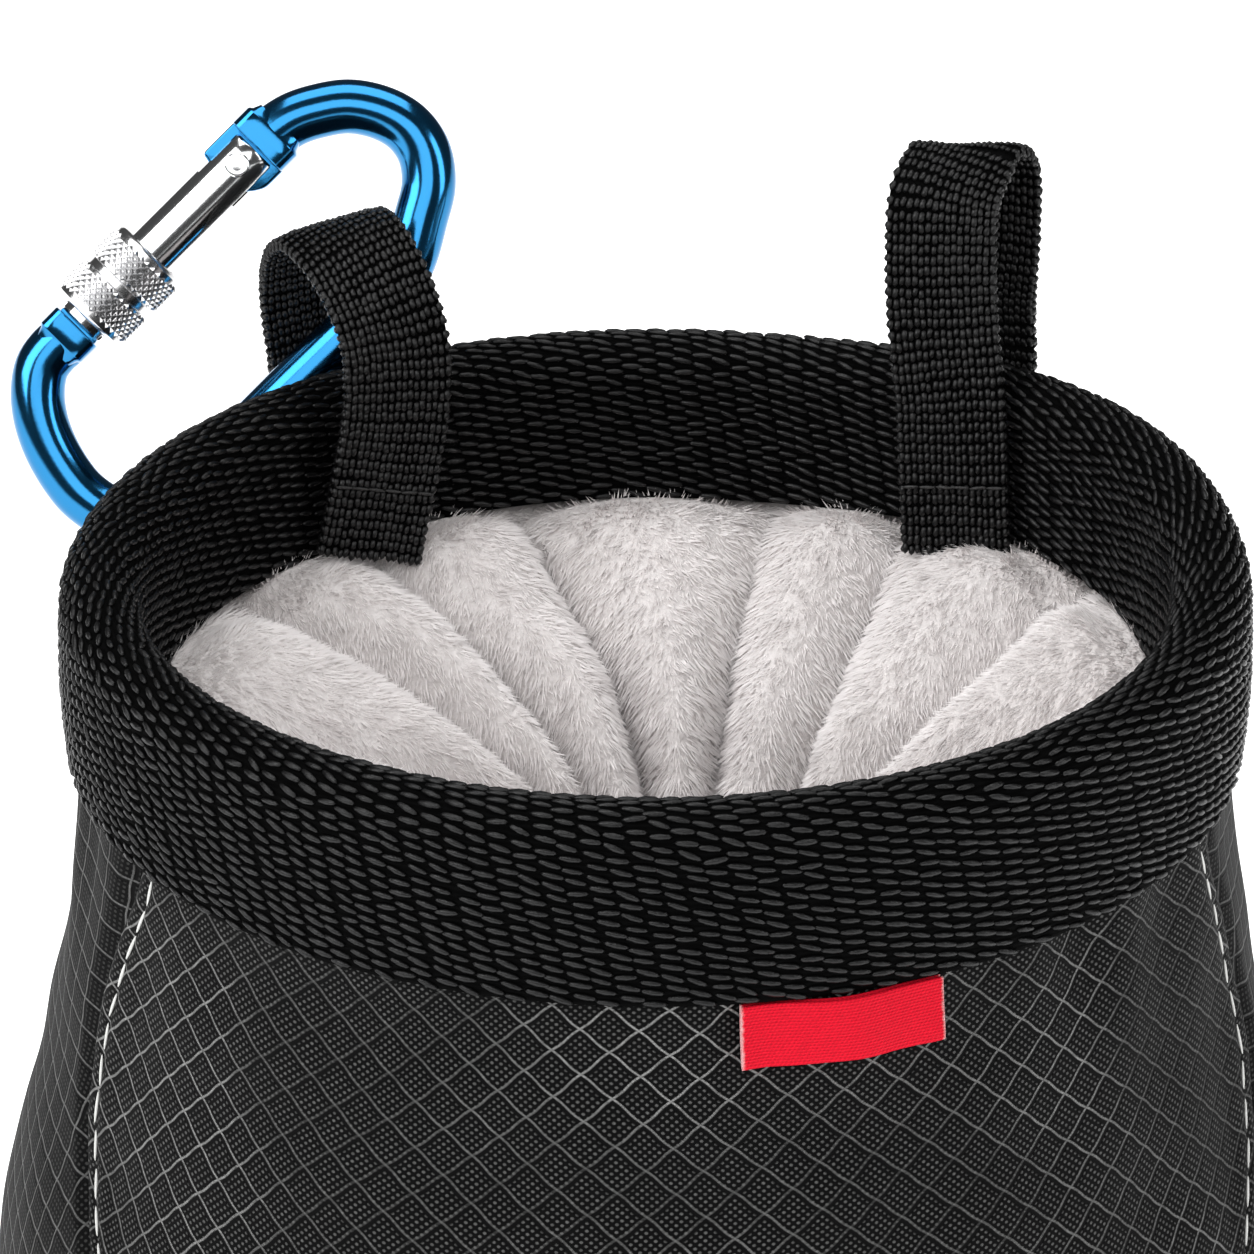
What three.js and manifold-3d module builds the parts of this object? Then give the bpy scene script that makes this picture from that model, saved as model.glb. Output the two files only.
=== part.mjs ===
// Climbing chalk bag: a round cloth bag with a padded webbing rim, a pleated fleece collar inside
// it, two webbing loops standing on the rim, and a small screw-gate carabiner in the left loop.
// Millimetres, +Z up. The front faces -Y, and the origin is at the middle of the base.
import * as THREE from 'three';
import { mergeVertices } from 'three/addons/utils/BufferGeometryUtils.js';
import Module from 'manifold-3d';

const wasm = await Module();
wasm.setup();

// Driving dimensions

const GAP = 0.3;                // kept between two pieces that touch

const RIM = {
  crestHeight: 165,             // floor to the top of the rim
  crestRadius: 56,              // bag axis to the middle of the rim's padding
  padRadius: 4.2,               // half the thickness of the padded crest
  padDrop: 8.5,                 // crest to the underside of the padding
  outerDrop: 20,                // crest to the outer edge of the band
  innerDrop: 17.5,              // crest to the inner edge of the band
  innerLean: 1.2,               // how far the inner face leans in towards its edge
  webbing: 1.5,                 // thickness of the webbing folded over the padding
  rise: 2.5,                    // how far the rim stands up at its highest place
  riseAzimuth: 60,              // degrees from the back to that place, towards the right
  riseSpread: 52,               // degrees that the rise fades over, each way
};

const SHELL = {
  wall: 1.3,                    // cloth with its coating and turned edges
  bellyRadius: 71.6,            // half the width of the bag where it is widest
  cornerRise: 24,               // height of the rounded corner above the base
  cornerRun: 12,                // how far the corner turns in to the base
  squareness: 2.3,              // outline's exponent at the base, where 2 is a circle
  panelTurn: 4,                 // degrees that the front panel sits round to the right
};

const COLLAR = {
  thickness: 2.4,               // fleece, measured square to the collar
  throatRadius: 12.8,           // bag axis to the pleats where they meet
  drop: 29.5,                   // band's inner edge to the lower end of the collar
  throatAcross: 3.5,            // the gathered throat stands this far to the right
  throatBack: 3,                // and this far towards the back
  pleatDepth: 5.5,              // deepest crease, measured square to the collar
};

const LABEL = { width: 20, height: 6.4, thickness: 0.8, azimuth: 17.5 };

const STRAP = { width: 12, thickness: 1.5, rightRise: 25, leftRise: 15.6 };

const CARABINER = {
  rod: 5.9,                     // diameter of the body's rod
  length: 52.6,                 // longest reach of the rod's middle line, along the spine
  width: 21,                    // spine to gate, between their middles
  seatAlong: 0.521,             // share of the length that lies below the place on the rim
  noseStart: 17.4,              // that place to the nose's outer end, along the spine
  hingeFace: 12.2,              // that place to the hinge's inner end, along the spine
  shoulder: 2.4,                // length of the flattened ends that face the gate
  noseWidth: 6.1,               // width of the nose's end across the rod
  hingeWidth: 7.4,              // width of the hinge's end across the rod, lips included
  tangThickness: 2,             // plate that reaches into the gate at each end
  slope: 44.9,                  // degrees of the spine from level
  lean: 24.9,                   // degrees that the carabiner leans back from upright
  seatAzimuth: 35.4,            // degrees from the back, where the spine lies on the rim
  seatLift: 14.8,               // degrees above level, from the padding to the spine
};

const GATE = {
  diameter: 5.7,
  bore: 3.3,
  slot: 2.6,                    // width of the slots that take the tangs
  pivotInset: 2.5,              // gate's upper end to the rivet
  noseSlot: 0.8,                // depth of the slot at the lower end
  opening: 26,                  // degrees that the hinge end is cleared for
  rivetPin: 1.6,
  rivetHead: 2.7,
  rivetHeadHeight: 0.5,
};

const SLEEVE = {
  diameter: 9.4,
  length: 9.9,
  noseInset: 1.3,               // nose's face to the sleeve's lower end
  groove: 1,
  grooveDepth: 0.6,
  chamfer: 0.4,
};

// Facets

const RING_SIDES = 60;
const BASE_SIDES = 56;
const PAD_STEPS = 6;
const CORNER_STEPS = 3;
const ROD_SIDES = 12;
const ROD_STEPS = 56;
const TUBE_SIDES = 16;
const SLEEVE_SIDES = 20;
const STRAP_STEPS = 34;

// Body rows from the top down: height as a share of the cloth's height above the corner, flare as
// a share of the way from the neck to the belly, square as a share of the extra squareness, and
// the azimuths, in degrees from the front, of the front panel's seam and of the side seam.
const SHELL_ROWS = [
  { height: 1.0, flare: 0.0, square: 0, front: 61, side: 96 },
  { height: 0.9, flare: 0.02, square: 0, front: 63, side: 96 },
  { height: 0.82, flare: 0.1, square: 0, front: 67, side: 96 },
  { height: 0.74, flare: 0.2, square: 0.1, front: 69, side: 97 },
  { height: 0.66, flare: 0.35, square: 0.2, front: 67, side: 98 },
  { height: 0.59, flare: 0.53, square: 0.3, front: 61, side: 99 },
  { height: 0.5, flare: 0.74, square: 0.5, front: 55, side: 100 },
  { height: 0.38, flare: 0.92, square: 0.7, front: 50, side: 100 },
  { height: 0.23, flare: 1.0, square: 0.9, front: 46, side: 100 },
  { height: 0.09, flare: 0.95, square: 1, front: 44, side: 100 },
  { height: 0.0, flare: 0.86, square: 1, front: 43, side: 100 },
];
const CORNER_SEAMS = { front: 42, side: 100 };

// Collar rows from the band to the throat, on the side that shows: inward as a share of the way
// from the seat in the band to the throat, down as a share of the drop below the band's inner
// edge, deep as a share of the pleats' depth, and shift as a share of the throat's offset.
const COLLAR_ROWS = [
  { inward: 0.0, down: -0.2, deep: 0, shift: 0 },
  { inward: 0.008, down: 0.005, deep: 0, shift: 0 },
  { inward: 0.07, down: 0.055, deep: 0.05, shift: 0 },
  { inward: 0.14, down: 0.05, deep: 0.16, shift: 0.05 },
  { inward: 0.235, down: 0.037, deep: 0.3, shift: 0.18 },
  { inward: 0.41, down: 0.085, deep: 0.52, shift: 0.42 },
  { inward: 0.58, down: 0.173, deep: 0.72, shift: 0.63 },
  { inward: 0.72, down: 0.29, deep: 0.88, shift: 0.8 },
  { inward: 0.84, down: 0.43, deep: 1, shift: 0.92 },
  { inward: 0.935, down: 0.61, deep: 0.95, shift: 1 },
  { inward: 0.985, down: 0.8, deep: 0.85, shift: 1 },
  { inward: 1.0, down: 1.0, deep: 0.8, shift: 1 },
];

// Creases of the collar: azimuths in degrees from the back at the rim and at the throat, where
// the crease starts as a share of the way inward, and its depth as a share of the deepest.
const CREASES = [
  { rim: -172, throat: -168, start: 0.15, depth: 0.9 },
  { rim: -147, throat: -142, start: 0.1, depth: 1 },
  { rim: -121, throat: -114, start: 0.15, depth: 0.85 },
  { rim: -95, throat: -78, start: 0.25, depth: 1 },
  { rim: -58, throat: -55, start: 0.08, depth: 0.8 },
  { rim: -38.5, throat: -38, start: 0.1, depth: 0.9 },
  { rim: -17, throat: -13, start: 0.05, depth: 1 },
  { rim: 14.5, throat: 7, start: 0.12, depth: 1 },
  { rim: 33, throat: 36, start: 0.2, depth: 0.85 },
  { rim: 61, throat: 66, start: 0.06, depth: 1 },
  { rim: 86, throat: 92, start: 0.15, depth: 0.8 },
  { rim: 112, throat: 118, start: 0.12, depth: 0.95 },
  { rim: 137, throat: 143, start: 0.1, depth: 0.85 },
  { rim: 162, throat: 168, start: 0.15, depth: 0.9 },
];
const CREASE_PHASES = [0, 0.13, 0.36, 0.64, 0.87];
const CREASE_SHARPNESS = 0.6;

// Strap rows from the foot inside the band, over the top and down outside it: azimuth in degrees
// from the back, out as a share of the strap's reach past the padding, up as a share of the
// loop's rise above the crest, down as a share of the band's outer drop, turn in degrees of the
// strap's width from the picture plane, and tip in degrees of its right side upwards.
const RIGHT_STRAP_ROWS = [
  { azimuth: 43.6, out: -1.86, up: 0, down: 0.78, turn: 14, tip: 0 },
  { azimuth: 42.5, out: -1.77, up: 0, down: 0.42, turn: 14, tip: 0 },
  { azimuth: 40.7, out: -1.58, up: 0, down: 0, turn: 13, tip: 0 },
  { azimuth: 38.3, out: -1.36, up: 0.32, down: 0, turn: 8, tip: 0 },
  { azimuth: 36.9, out: -1.17, up: 0.64, down: 0, turn: 6, tip: 0 },
  { azimuth: 36.2, out: -0.88, up: 0.88, down: 0, turn: 6, tip: 3 },
  { azimuth: 35.6, out: 0.06, up: 1, down: 0, turn: 5, tip: 4 },
  { azimuth: 35.2, out: 0.85, up: 0.88, down: 0, turn: 8, tip: 3 },
  { azimuth: 34.8, out: 1.1, up: 0.56, down: 0, turn: 14, tip: 0 },
  { azimuth: 34.5, out: 1.16, up: 0.24, down: 0, turn: 24, tip: 0 },
  { azimuth: 35.4, out: 1.06, up: 0, down: 0, turn: 33, tip: 0 },
  { azimuth: 36, out: 1.02, up: 0, down: 0.4, turn: 36, tip: 0 },
  { azimuth: 36, out: 1.02, up: 0, down: 1, turn: 36, tip: 0 },
];
const LEFT_STRAP_ROWS = [
  { azimuth: 40.7, out: -1.77, up: 0, down: 0.845, turn: 19, tip: 0 },
  { azimuth: 38.6, out: -1.82, up: 0, down: 0.5, turn: 19, tip: 0 },
  { azimuth: 36.3, out: -1.85, up: 0, down: 0.05, turn: 19, tip: 0 },
  { azimuth: 35.5, out: -1.67, up: 0.38, down: 0, turn: 19, tip: 4 },
  { azimuth: 35.9, out: -1.23, up: 0.72, down: 0, turn: 18, tip: 10 },
  { azimuth: 36.2, out: -0.39, up: 0.97, down: 0, turn: 14, tip: 14 },
  { azimuth: 35.7, out: 0.51, up: 1, down: 0, turn: 12, tip: 14 },
  { azimuth: 34.8, out: 1.4, up: 0.8, down: 0, turn: 14, tip: 10 },
  { azimuth: 33.4, out: 2.15, up: 0.38, down: 0, turn: 20, tip: 4 },
  { azimuth: 32.4, out: 2.32, up: 0, down: 0.15, turn: 24, tip: 0 },
  { azimuth: 32.4, out: 2.15, up: 0, down: 0.45, turn: 26, tip: 0 },
  { azimuth: 33.4, out: 1.5, up: 0, down: 0.75, turn: 30, tip: 0 },
  { azimuth: 34.4, out: 1.06, up: 0, down: 1, turn: 34.4, tip: 0 },
];

// Middle line of the carabiner's rod, from the nose round the spine to the hinge: along as a
// share of its length, and across as a share of its width.
const ROD_ROWS = [
  { along: 0.19, across: 1 },
  { along: 0.167, across: 1.004 },
  { along: 0.126, across: 0.986 },
  { along: 0.084, across: 0.912 },
  { along: 0.05, across: 0.807 },
  { along: 0.023, across: 0.671 },
  { along: 0.004, across: 0.495 },
  { along: 0, across: 0.362 },
  { along: 0.015, across: 0.2 },
  { along: 0.055, across: 0.076 },
  { along: 0.118, across: 0.009 },
  { along: 0.198, across: 0 },
  { along: 0.44, across: 0 },
  { along: 0.69, across: 0 },
  { along: 0.797, across: 0.033 },
  { along: 0.891, across: 0.157 },
  { along: 0.95, across: 0.251 },
  { along: 0.989, across: 0.382 },
  { along: 1, across: 0.524 },
  { along: 0.986, across: 0.668 },
  { along: 0.947, across: 0.818 },
  { along: 0.891, across: 0.921 },
  { along: 0.845, across: 0.976 },
  { along: 0.797, across: 1 },
];

// Sizes worked out from the ones above

const rimOuterRadius = RIM.crestRadius + RIM.padRadius;
const neckRadius = rimOuterRadius - RIM.webbing - GAP;
const clothTop = RIM.crestHeight - RIM.padDrop - GAP;
const collarSeatRadius = RIM.crestRadius - RIM.padRadius + RIM.webbing + GAP;
const throatRun = collarSeatRadius - COLLAR.throatRadius;
const strapReach = RIM.padRadius + GAP + STRAP.thickness / 2;
const rodRadius = CARABINER.rod / 2;
const seatDistance = RIM.padRadius + rodRadius + GAP + 0.1;

const degrees = THREE.MathUtils.degToRad;
const lerp = THREE.MathUtils.lerp;

// General helpers

/** A closed geometry with merged vertices and outward faces. */
function closed(geometry) {
  const bare = geometry.index ? geometry.toNonIndexed() : geometry.clone();
  for (const name of Object.keys(bare.attributes)) {
    if (name !== 'position') bare.deleteAttribute(name);
  }
  const merged = mergeVertices(bare, 1e-4);
  const index = Array.from(merged.index.array);
  const corner = (i) => new THREE.Vector3().fromBufferAttribute(merged.attributes.position, i);
  const kept = [];
  let volume = 0;
  for (let i = 0; i < index.length; i += 3) {
    const [a, b, c] = index.slice(i, i + 3);
    if (a === b || b === c || c === a) continue;
    kept.push(a, b, c);
    volume += corner(a).dot(corner(b).cross(corner(c)));
  }
  if (volume < 0) kept.reverse();
  merged.setIndex(kept);
  return merged;
}

/** A sheet between two grids of points, closed round its edges or, if ring, joined end to end. */
function sheetGeometry(front, back, ring = false) {
  const columns = front[0].length;
  const rows = front.length;
  const positions = [...front.flat(), ...back.flat()].flatMap((p) => [p.x, p.y, p.z]);
  const at = (side, row, column) => side * rows * columns + row * columns + (column % columns);
  const index = [];
  const quad = (a, b, c, d) => index.push(a, b, c, a, c, d);
  const spans = ring ? columns : columns - 1;
  for (let c = 0; c < spans; c += 1) {
    for (let r = 0; r + 1 < rows; r += 1) {
      quad(at(0, r, c), at(0, r, c + 1), at(0, r + 1, c + 1), at(0, r + 1, c));
      quad(at(1, r + 1, c), at(1, r + 1, c + 1), at(1, r, c + 1), at(1, r, c));
    }
    quad(at(1, 0, c), at(1, 0, c + 1), at(0, 0, c + 1), at(0, 0, c));
    quad(at(0, rows - 1, c), at(0, rows - 1, c + 1), at(1, rows - 1, c + 1), at(1, rows - 1, c));
  }
  if (!ring) {
    for (let r = 0; r + 1 < rows; r += 1) {
      quad(at(0, r, 0), at(0, r + 1, 0), at(1, r + 1, 0), at(1, r, 0));
      quad(at(1, r, spans), at(1, r + 1, spans), at(0, r + 1, spans), at(0, r, spans));
    }
  }
  const geometry = new THREE.BufferGeometry();
  geometry.setAttribute('position', new THREE.Float32BufferAttribute(positions, 3));
  geometry.setIndex(index);
  return closed(geometry);
}

/** The solid of a closed geometry, for joining and cutting. */
function solid(geometry) {
  const merged = closed(geometry);
  return new wasm.Manifold(new wasm.Mesh({
    numProp: 3,
    vertProperties: new Float32Array(merged.attributes.position.array),
    triVerts: new Uint32Array(merged.index.array),
  }));
}

/** The geometry of a solid. */
function geometryOf(manifold) {
  const mesh = manifold.getMesh();
  const geometry = new THREE.BufferGeometry();
  geometry.setAttribute('position', new THREE.BufferAttribute(mesh.vertProperties.slice(), 3));
  geometry.setIndex(Array.from(mesh.triVerts));
  return closed(geometry);
}

/** A named mesh in its own material. */
function piece(name, geometry, finish) {
  const mesh = new THREE.Mesh(geometry, new THREE.MeshStandardMaterial(finish));
  mesh.name = name;
  return mesh;
}

/** A ring turned about +Z from a closed outline of [radius, height] pairs. */
function turned(outline, sides) {
  const points = [...outline, outline[0]].map(([radius, height]) => new THREE.Vector2(radius, height));
  return closed(new THREE.LatheGeometry(points, sides).rotateX(Math.PI / 2));
}

// Cloth body

/** The rows of the body from the neck down round the corner to the base. */
function bodyRows() {
  const side = lerp(neckRadius, SHELL.bellyRadius, SHELL_ROWS.at(-1).flare);
  const straight = SHELL_ROWS.map((row) => ({
    ...row,
    radius: lerp(neckRadius, SHELL.bellyRadius, row.flare),
    level: lerp(SHELL.cornerRise, clothTop, row.height),
  }));
  const corner = [];
  for (let step = 1; step <= CORNER_STEPS; step += 1) {
    const angle = (step / CORNER_STEPS) * (Math.PI / 2);
    corner.push({
      ...CORNER_SEAMS,
      square: 1,
      radius: side - SHELL.cornerRun * (1 - Math.cos(angle)),
      level: SHELL.cornerRise * (1 - Math.sin(angle)),
    });
  }
  return [...straight, ...corner];
}

const ROWS = bodyRows();

/** A point of the body's outer face, at an azimuth from the front and a place along the rows. */
function bodyPoint(azimuth, place) {
  const low = Math.min(Math.max(Math.floor(place), 0), ROWS.length - 2);
  const share = place - low;
  const value = (key) => lerp(ROWS[low][key], ROWS[low + 1][key], share);
  const exponent = 2 + (SHELL.squareness - 2) * value('square');
  const across = Math.sin(azimuth);
  const along = -Math.cos(azimuth);
  const norm = (Math.abs(across) ** exponent + Math.abs(along) ** exponent) ** (1 / exponent);
  const radius = value('radius') / norm;
  return new THREE.Vector3(radius * across, radius * along, value('level'));
}

/** The outward direction of the body there. */
function bodyNormal(azimuth, place) {
  const turn = 0.01;
  const step = 0.4;
  const last = ROWS.length - 1;
  const round = bodyPoint(azimuth + turn, place).sub(bodyPoint(azimuth - turn, place));
  const below = Math.min(place + step, last);
  const above = Math.max(place - step, 0);
  const down = bodyPoint(azimuth, below).sub(bodyPoint(azimuth, above));
  if (place === last) down.setZ(0);
  if (place === 0) down.set(0, 0, -1);
  return down.cross(round).normalize();
}

/** A panel between two seams, each an azimuth in radians worked out from a row of the body. */
function panelGeometry(fromSeam, toSeam, columns) {
  const front = [];
  const back = [];
  ROWS.forEach((row, place) => {
    const inset = GAP / 2 / row.radius;
    const start = fromSeam(row) + inset;
    const end = toSeam(row) - inset;
    const azimuths = Array.from({ length: columns + 1 }, (_, c) => lerp(start, end, c / columns));
    front.push(azimuths.map((azimuth) => bodyPoint(azimuth, place)));
    back.push(azimuths.map((azimuth) => bodyPoint(azimuth, place)
      .addScaledVector(bodyNormal(azimuth, place), -SHELL.wall)));
  });
  return sheetGeometry(front, back);
}

const seamAt = (key, sign) => (row) => degrees(sign * row[key] + SHELL.panelTurn);

/** The flat base inside the panels' lower edges. */
function baseGeometry() {
  const last = ROWS.length - 1;
  const outline = Array.from({ length: BASE_SIDES }, (_, side) => {
    const point = bodyPoint((side / BASE_SIDES) * 2 * Math.PI, last);
    const inner = point.clone().setLength(point.length() - GAP);
    return new THREE.Vector2(inner.x, inner.y);
  });
  return closed(new THREE.ExtrudeGeometry(new THREE.Shape(outline), {
    depth: SHELL.wall,
    bevelEnabled: false,
  }));
}

/** The woven label that hangs from the band's outer edge, against the front. */
function labelGeometry() {
  const columns = 6;
  const half = LABEL.width / 2 / neckRadius;
  const top = RIM.crestHeight - RIM.outerDrop - GAP;
  const placeOf = (level) => {
    const next = ROWS.findIndex((row) => row.level <= level);
    return next - 1 + (ROWS[next - 1].level - level) / (ROWS[next - 1].level - ROWS[next].level);
  };
  const grid = (offset) => [0, 0.5, 1].map((share) => Array.from({ length: columns + 1 }, (_, c) => {
    const azimuth = degrees(LABEL.azimuth) + lerp(-half, half, c / columns);
    const place = placeOf(top - LABEL.height * share);
    return bodyPoint(azimuth, place).addScaledVector(bodyNormal(azimuth, place), offset);
  }));
  return sheetGeometry(grid(GAP + LABEL.thickness), grid(GAP));
}

// Rim

/** How far the rim stands up at an azimuth in radians from the back, towards the right. */
function rimRise(azimuth) {
  const away = Math.abs(azimuth - degrees(RIM.riseAzimuth));
  const round = Math.min(away, 2 * Math.PI - away);
  const share = Math.min(round / degrees(RIM.riseSpread), 1);
  return (RIM.rise / 2) * (1 + Math.cos(Math.PI * share));
}

/** The webbing folded over its padding, open below for the cloth and the collar. */
function rimGeometry() {
  const crest = RIM.crestHeight;
  const centre = crest - RIM.padRadius;
  const inner = RIM.crestRadius - RIM.padRadius;
  const outline = [[rimOuterRadius, crest - RIM.outerDrop]];
  for (let step = 0; step <= PAD_STEPS; step += 1) {
    const angle = (step / PAD_STEPS) * Math.PI;
    outline.push([
      RIM.crestRadius + RIM.padRadius * Math.cos(angle),
      centre + RIM.padRadius * Math.sin(angle),
    ]);
  }
  outline.push(
    [inner - RIM.innerLean, crest - RIM.innerDrop],
    [inner - RIM.innerLean + RIM.webbing, crest - RIM.innerDrop],
    [inner + RIM.webbing, crest - RIM.padDrop],
    [rimOuterRadius - RIM.webbing, crest - RIM.padDrop],
    [rimOuterRadius - RIM.webbing, crest - RIM.outerDrop],
  );
  const ring = turned(outline, RING_SIDES);
  const places = ring.attributes.position;
  for (let i = 0; i < places.count; i += 1) {
    places.setZ(i, places.getZ(i) + rimRise(Math.atan2(places.getX(i), places.getY(i))));
  }
  return ring;
}

// Fleece collar

/** Depth of the crease pattern, from 0 on a ridge to 1 in a crease, between two creases. */
const creaseWave = (phase) => 1 - Math.sin(Math.PI * phase) ** CREASE_SHARPNESS;

/** A point of the collar: its row, the crease before it, the phase to the next, and a depth. */
function collarPoint(row, creaseIndex, phase, sink) {
  const before = CREASES[creaseIndex];
  const after = CREASES[(creaseIndex + 1) % CREASES.length];
  const wrap = after.rim < before.rim ? 360 : 0;
  const swirl = row.inward ** 1.5;
  const azimuth = degrees(lerp(
    lerp(before.rim, before.throat, swirl),
    lerp(after.rim + wrap, after.throat + wrap, swirl),
    phase,
  ));
  const nearer = phase < 0.5 ? before : after;
  const grown = THREE.MathUtils.smoothstep(row.inward, nearer.start - 0.1, nearer.start + 0.25);
  const crease = COLLAR.pleatDepth * row.deep * nearer.depth * grown * creaseWave(phase);
  const rowIndex = COLLAR_ROWS.indexOf(row);
  const above = COLLAR_ROWS[Math.max(rowIndex - 1, 0)];
  const below = COLLAR_ROWS[Math.min(rowIndex + 1, COLLAR_ROWS.length - 1)];
  const run = (below.inward - above.inward) * throatRun;
  const fall = (below.down - above.down) * COLLAR.drop;
  const slope = Math.hypot(run, fall);
  const depth = crease + sink;
  const radius = collarSeatRadius - row.inward * throatRun + depth * (fall / slope);
  const level = RIM.crestHeight - RIM.innerDrop - row.down * COLLAR.drop - depth * (run / slope)
    + rimRise(azimuth) * (1 - row.inward);
  return new THREE.Vector3(
    radius * Math.sin(azimuth) + COLLAR.throatAcross * row.shift,
    radius * Math.cos(azimuth) + COLLAR.throatBack * row.shift,
    level,
  );
}

/** The pleated fleece between the rim and the throat. */
function collarGeometry() {
  const grid = (sink) => COLLAR_ROWS.map((row) => CREASES.flatMap((_, crease) => (
    CREASE_PHASES.map((phase) => collarPoint(row, crease, phase, sink))
  )));
  return sheetGeometry(grid(0), grid(COLLAR.thickness), true);
}

// Webbing loops

/** A loop of webbing through its rows, on the side of the bag given by a sign. */
function strapGeometry(rows, rise, sign) {
  const middles = new THREE.CatmullRomCurve3(rows.map((row) => {
    const radius = RIM.crestRadius + row.out * strapReach;
    const azimuth = degrees(row.azimuth);
    return new THREE.Vector3(
      sign * radius * Math.sin(azimuth),
      radius * Math.cos(azimuth),
      RIM.crestHeight + row.up * rise - row.down * RIM.outerDrop,
    );
  }), false, 'centripetal');
  const front = [];
  const back = [];
  for (let step = 0; step <= STRAP_STEPS; step += 1) {
    const share = step / STRAP_STEPS;
    const place = share * (rows.length - 1);
    const low = Math.min(Math.floor(place), rows.length - 2);
    const value = (key) => degrees(lerp(rows[low][key], rows[low + 1][key], place - low));
    const wide = new THREE.Vector3(
      Math.cos(value('turn')) * Math.cos(value('tip')),
      -sign * Math.sin(value('turn')) * Math.cos(value('tip')),
      Math.sin(value('tip')),
    );
    const middle = middles.getPoint(share);
    const along = middles.getTangent(share);
    wide.addScaledVector(along, -wide.dot(along)).normalize();
    const thick = new THREE.Vector3().crossVectors(along, wide).normalize();
    const across = (side) => [-0.5, 0.5].map((half) => middle.clone()
      .addScaledVector(wide, half * STRAP.width)
      .addScaledVector(thick, side * STRAP.thickness / 2));
    front.push(across(1));
    back.push(across(-1));
  }
  return sheetGeometry(front, back);
}

// Carabiner, in its own plane: +X along the spine towards the hinge, +Y from the spine to the gate

const noseStart = -CARABINER.noseStart;
const noseFace = noseStart + CARABINER.shoulder;
const hingeFace = CARABINER.hingeFace;
const hingeEnd = hingeFace + CARABINER.shoulder;
const gateLow = noseFace + GAP;
const gateHigh = hingeFace - GAP;
const pivotAlong = gateHigh - GATE.pivotInset;

/** The middle line of the rod, from inside the nose round the spine to inside the hinge. */
function rodPath() {
  const { width, length, seatAlong, shoulder } = CARABINER;
  return new THREE.CatmullRomCurve3([
    new THREE.Vector3(noseStart + shoulder / 2, width, 0),
    ...ROD_ROWS.map((row) => new THREE.Vector3((row.along - seatAlong) * length, row.across * width, 0)),
    new THREE.Vector3(hingeEnd - shoulder / 2, width, 0),
  ], false, 'centripetal');
}

/** A round outline for the rod's section. */
function roundShape(radius, sides) {
  return new THREE.Shape(Array.from({ length: sides }, (_, side) => {
    const angle = (2 * Math.PI * (side + 0.5)) / sides;
    return new THREE.Vector2(radius * Math.cos(angle), radius * Math.sin(angle));
  }));
}

/** A cylinder along +X between two places, on the gate's middle line. */
function alongGate(radius, from, to, sides) {
  return new THREE.CylinderGeometry(radius, radius, to - from, sides)
    .rotateZ(-Math.PI / 2)
    .translate((from + to) / 2, CARABINER.width, 0);
}

/** A box across the gate's middle line between two places. */
function acrossGate(from, to, width, depth) {
  return new THREE.BoxGeometry(to - from, width, depth)
    .translate((from + to) / 2, CARABINER.width, 0);
}

/** A cylinder square to the carabiner's plane at the pivot. */
function atPivot(radius, from, to, sides) {
  return new THREE.CylinderGeometry(radius, radius, to - from, sides)
    .rotateX(Math.PI / 2)
    .translate(pivotAlong, CARABINER.width, (from + to) / 2);
}

/** The flattened end of the rod behind a face that looks at the gate, narrowed to the rod. */
function endBlock(face, outward, width) {
  const { rod, shoulder } = CARABINER;
  const wide = width / 2;
  const narrow = 0.4 * rod;
  const outline = [
    [0, -wide], [0.35 * shoulder, -wide], [1.2 * shoulder, -narrow],
    [1.2 * shoulder, narrow], [0.35 * shoulder, wide], [0, wide],
  ].map(([along, across]) => new THREE.Vector2(face + outward * along, CARABINER.width + across));
  return new THREE.ExtrudeGeometry(new THREE.Shape(outline), {
    depth: rod,
    bevelEnabled: false,
  }).translate(0, 0, -rod / 2);
}

/** The plate at the hinge that the gate turns on, with a lip on each side of the gate. */
function hingeTang() {
  const lip = CARABINER.hingeWidth / 2;
  const end = hingeFace + CARABINER.shoulder / 3 - pivotAlong;
  const outline = [
    [end, -lip], [0.1 * lip, -lip], [-0.3 * lip, -0.75 * lip], [-0.6 * lip, -0.35 * lip],
    [-0.65 * lip, 0], [-0.6 * lip, 0.45 * lip], [-0.5 * lip, 0.8 * lip], [-0.5 * lip, lip],
    [end, lip],
  ].map(([along, across]) => new THREE.Vector2(along, across));
  return new THREE.ExtrudeGeometry(new THREE.Shape(outline), {
    depth: CARABINER.tangThickness,
    bevelEnabled: false,
  }).translate(pivotAlong, CARABINER.width, -CARABINER.tangThickness / 2);
}

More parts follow.
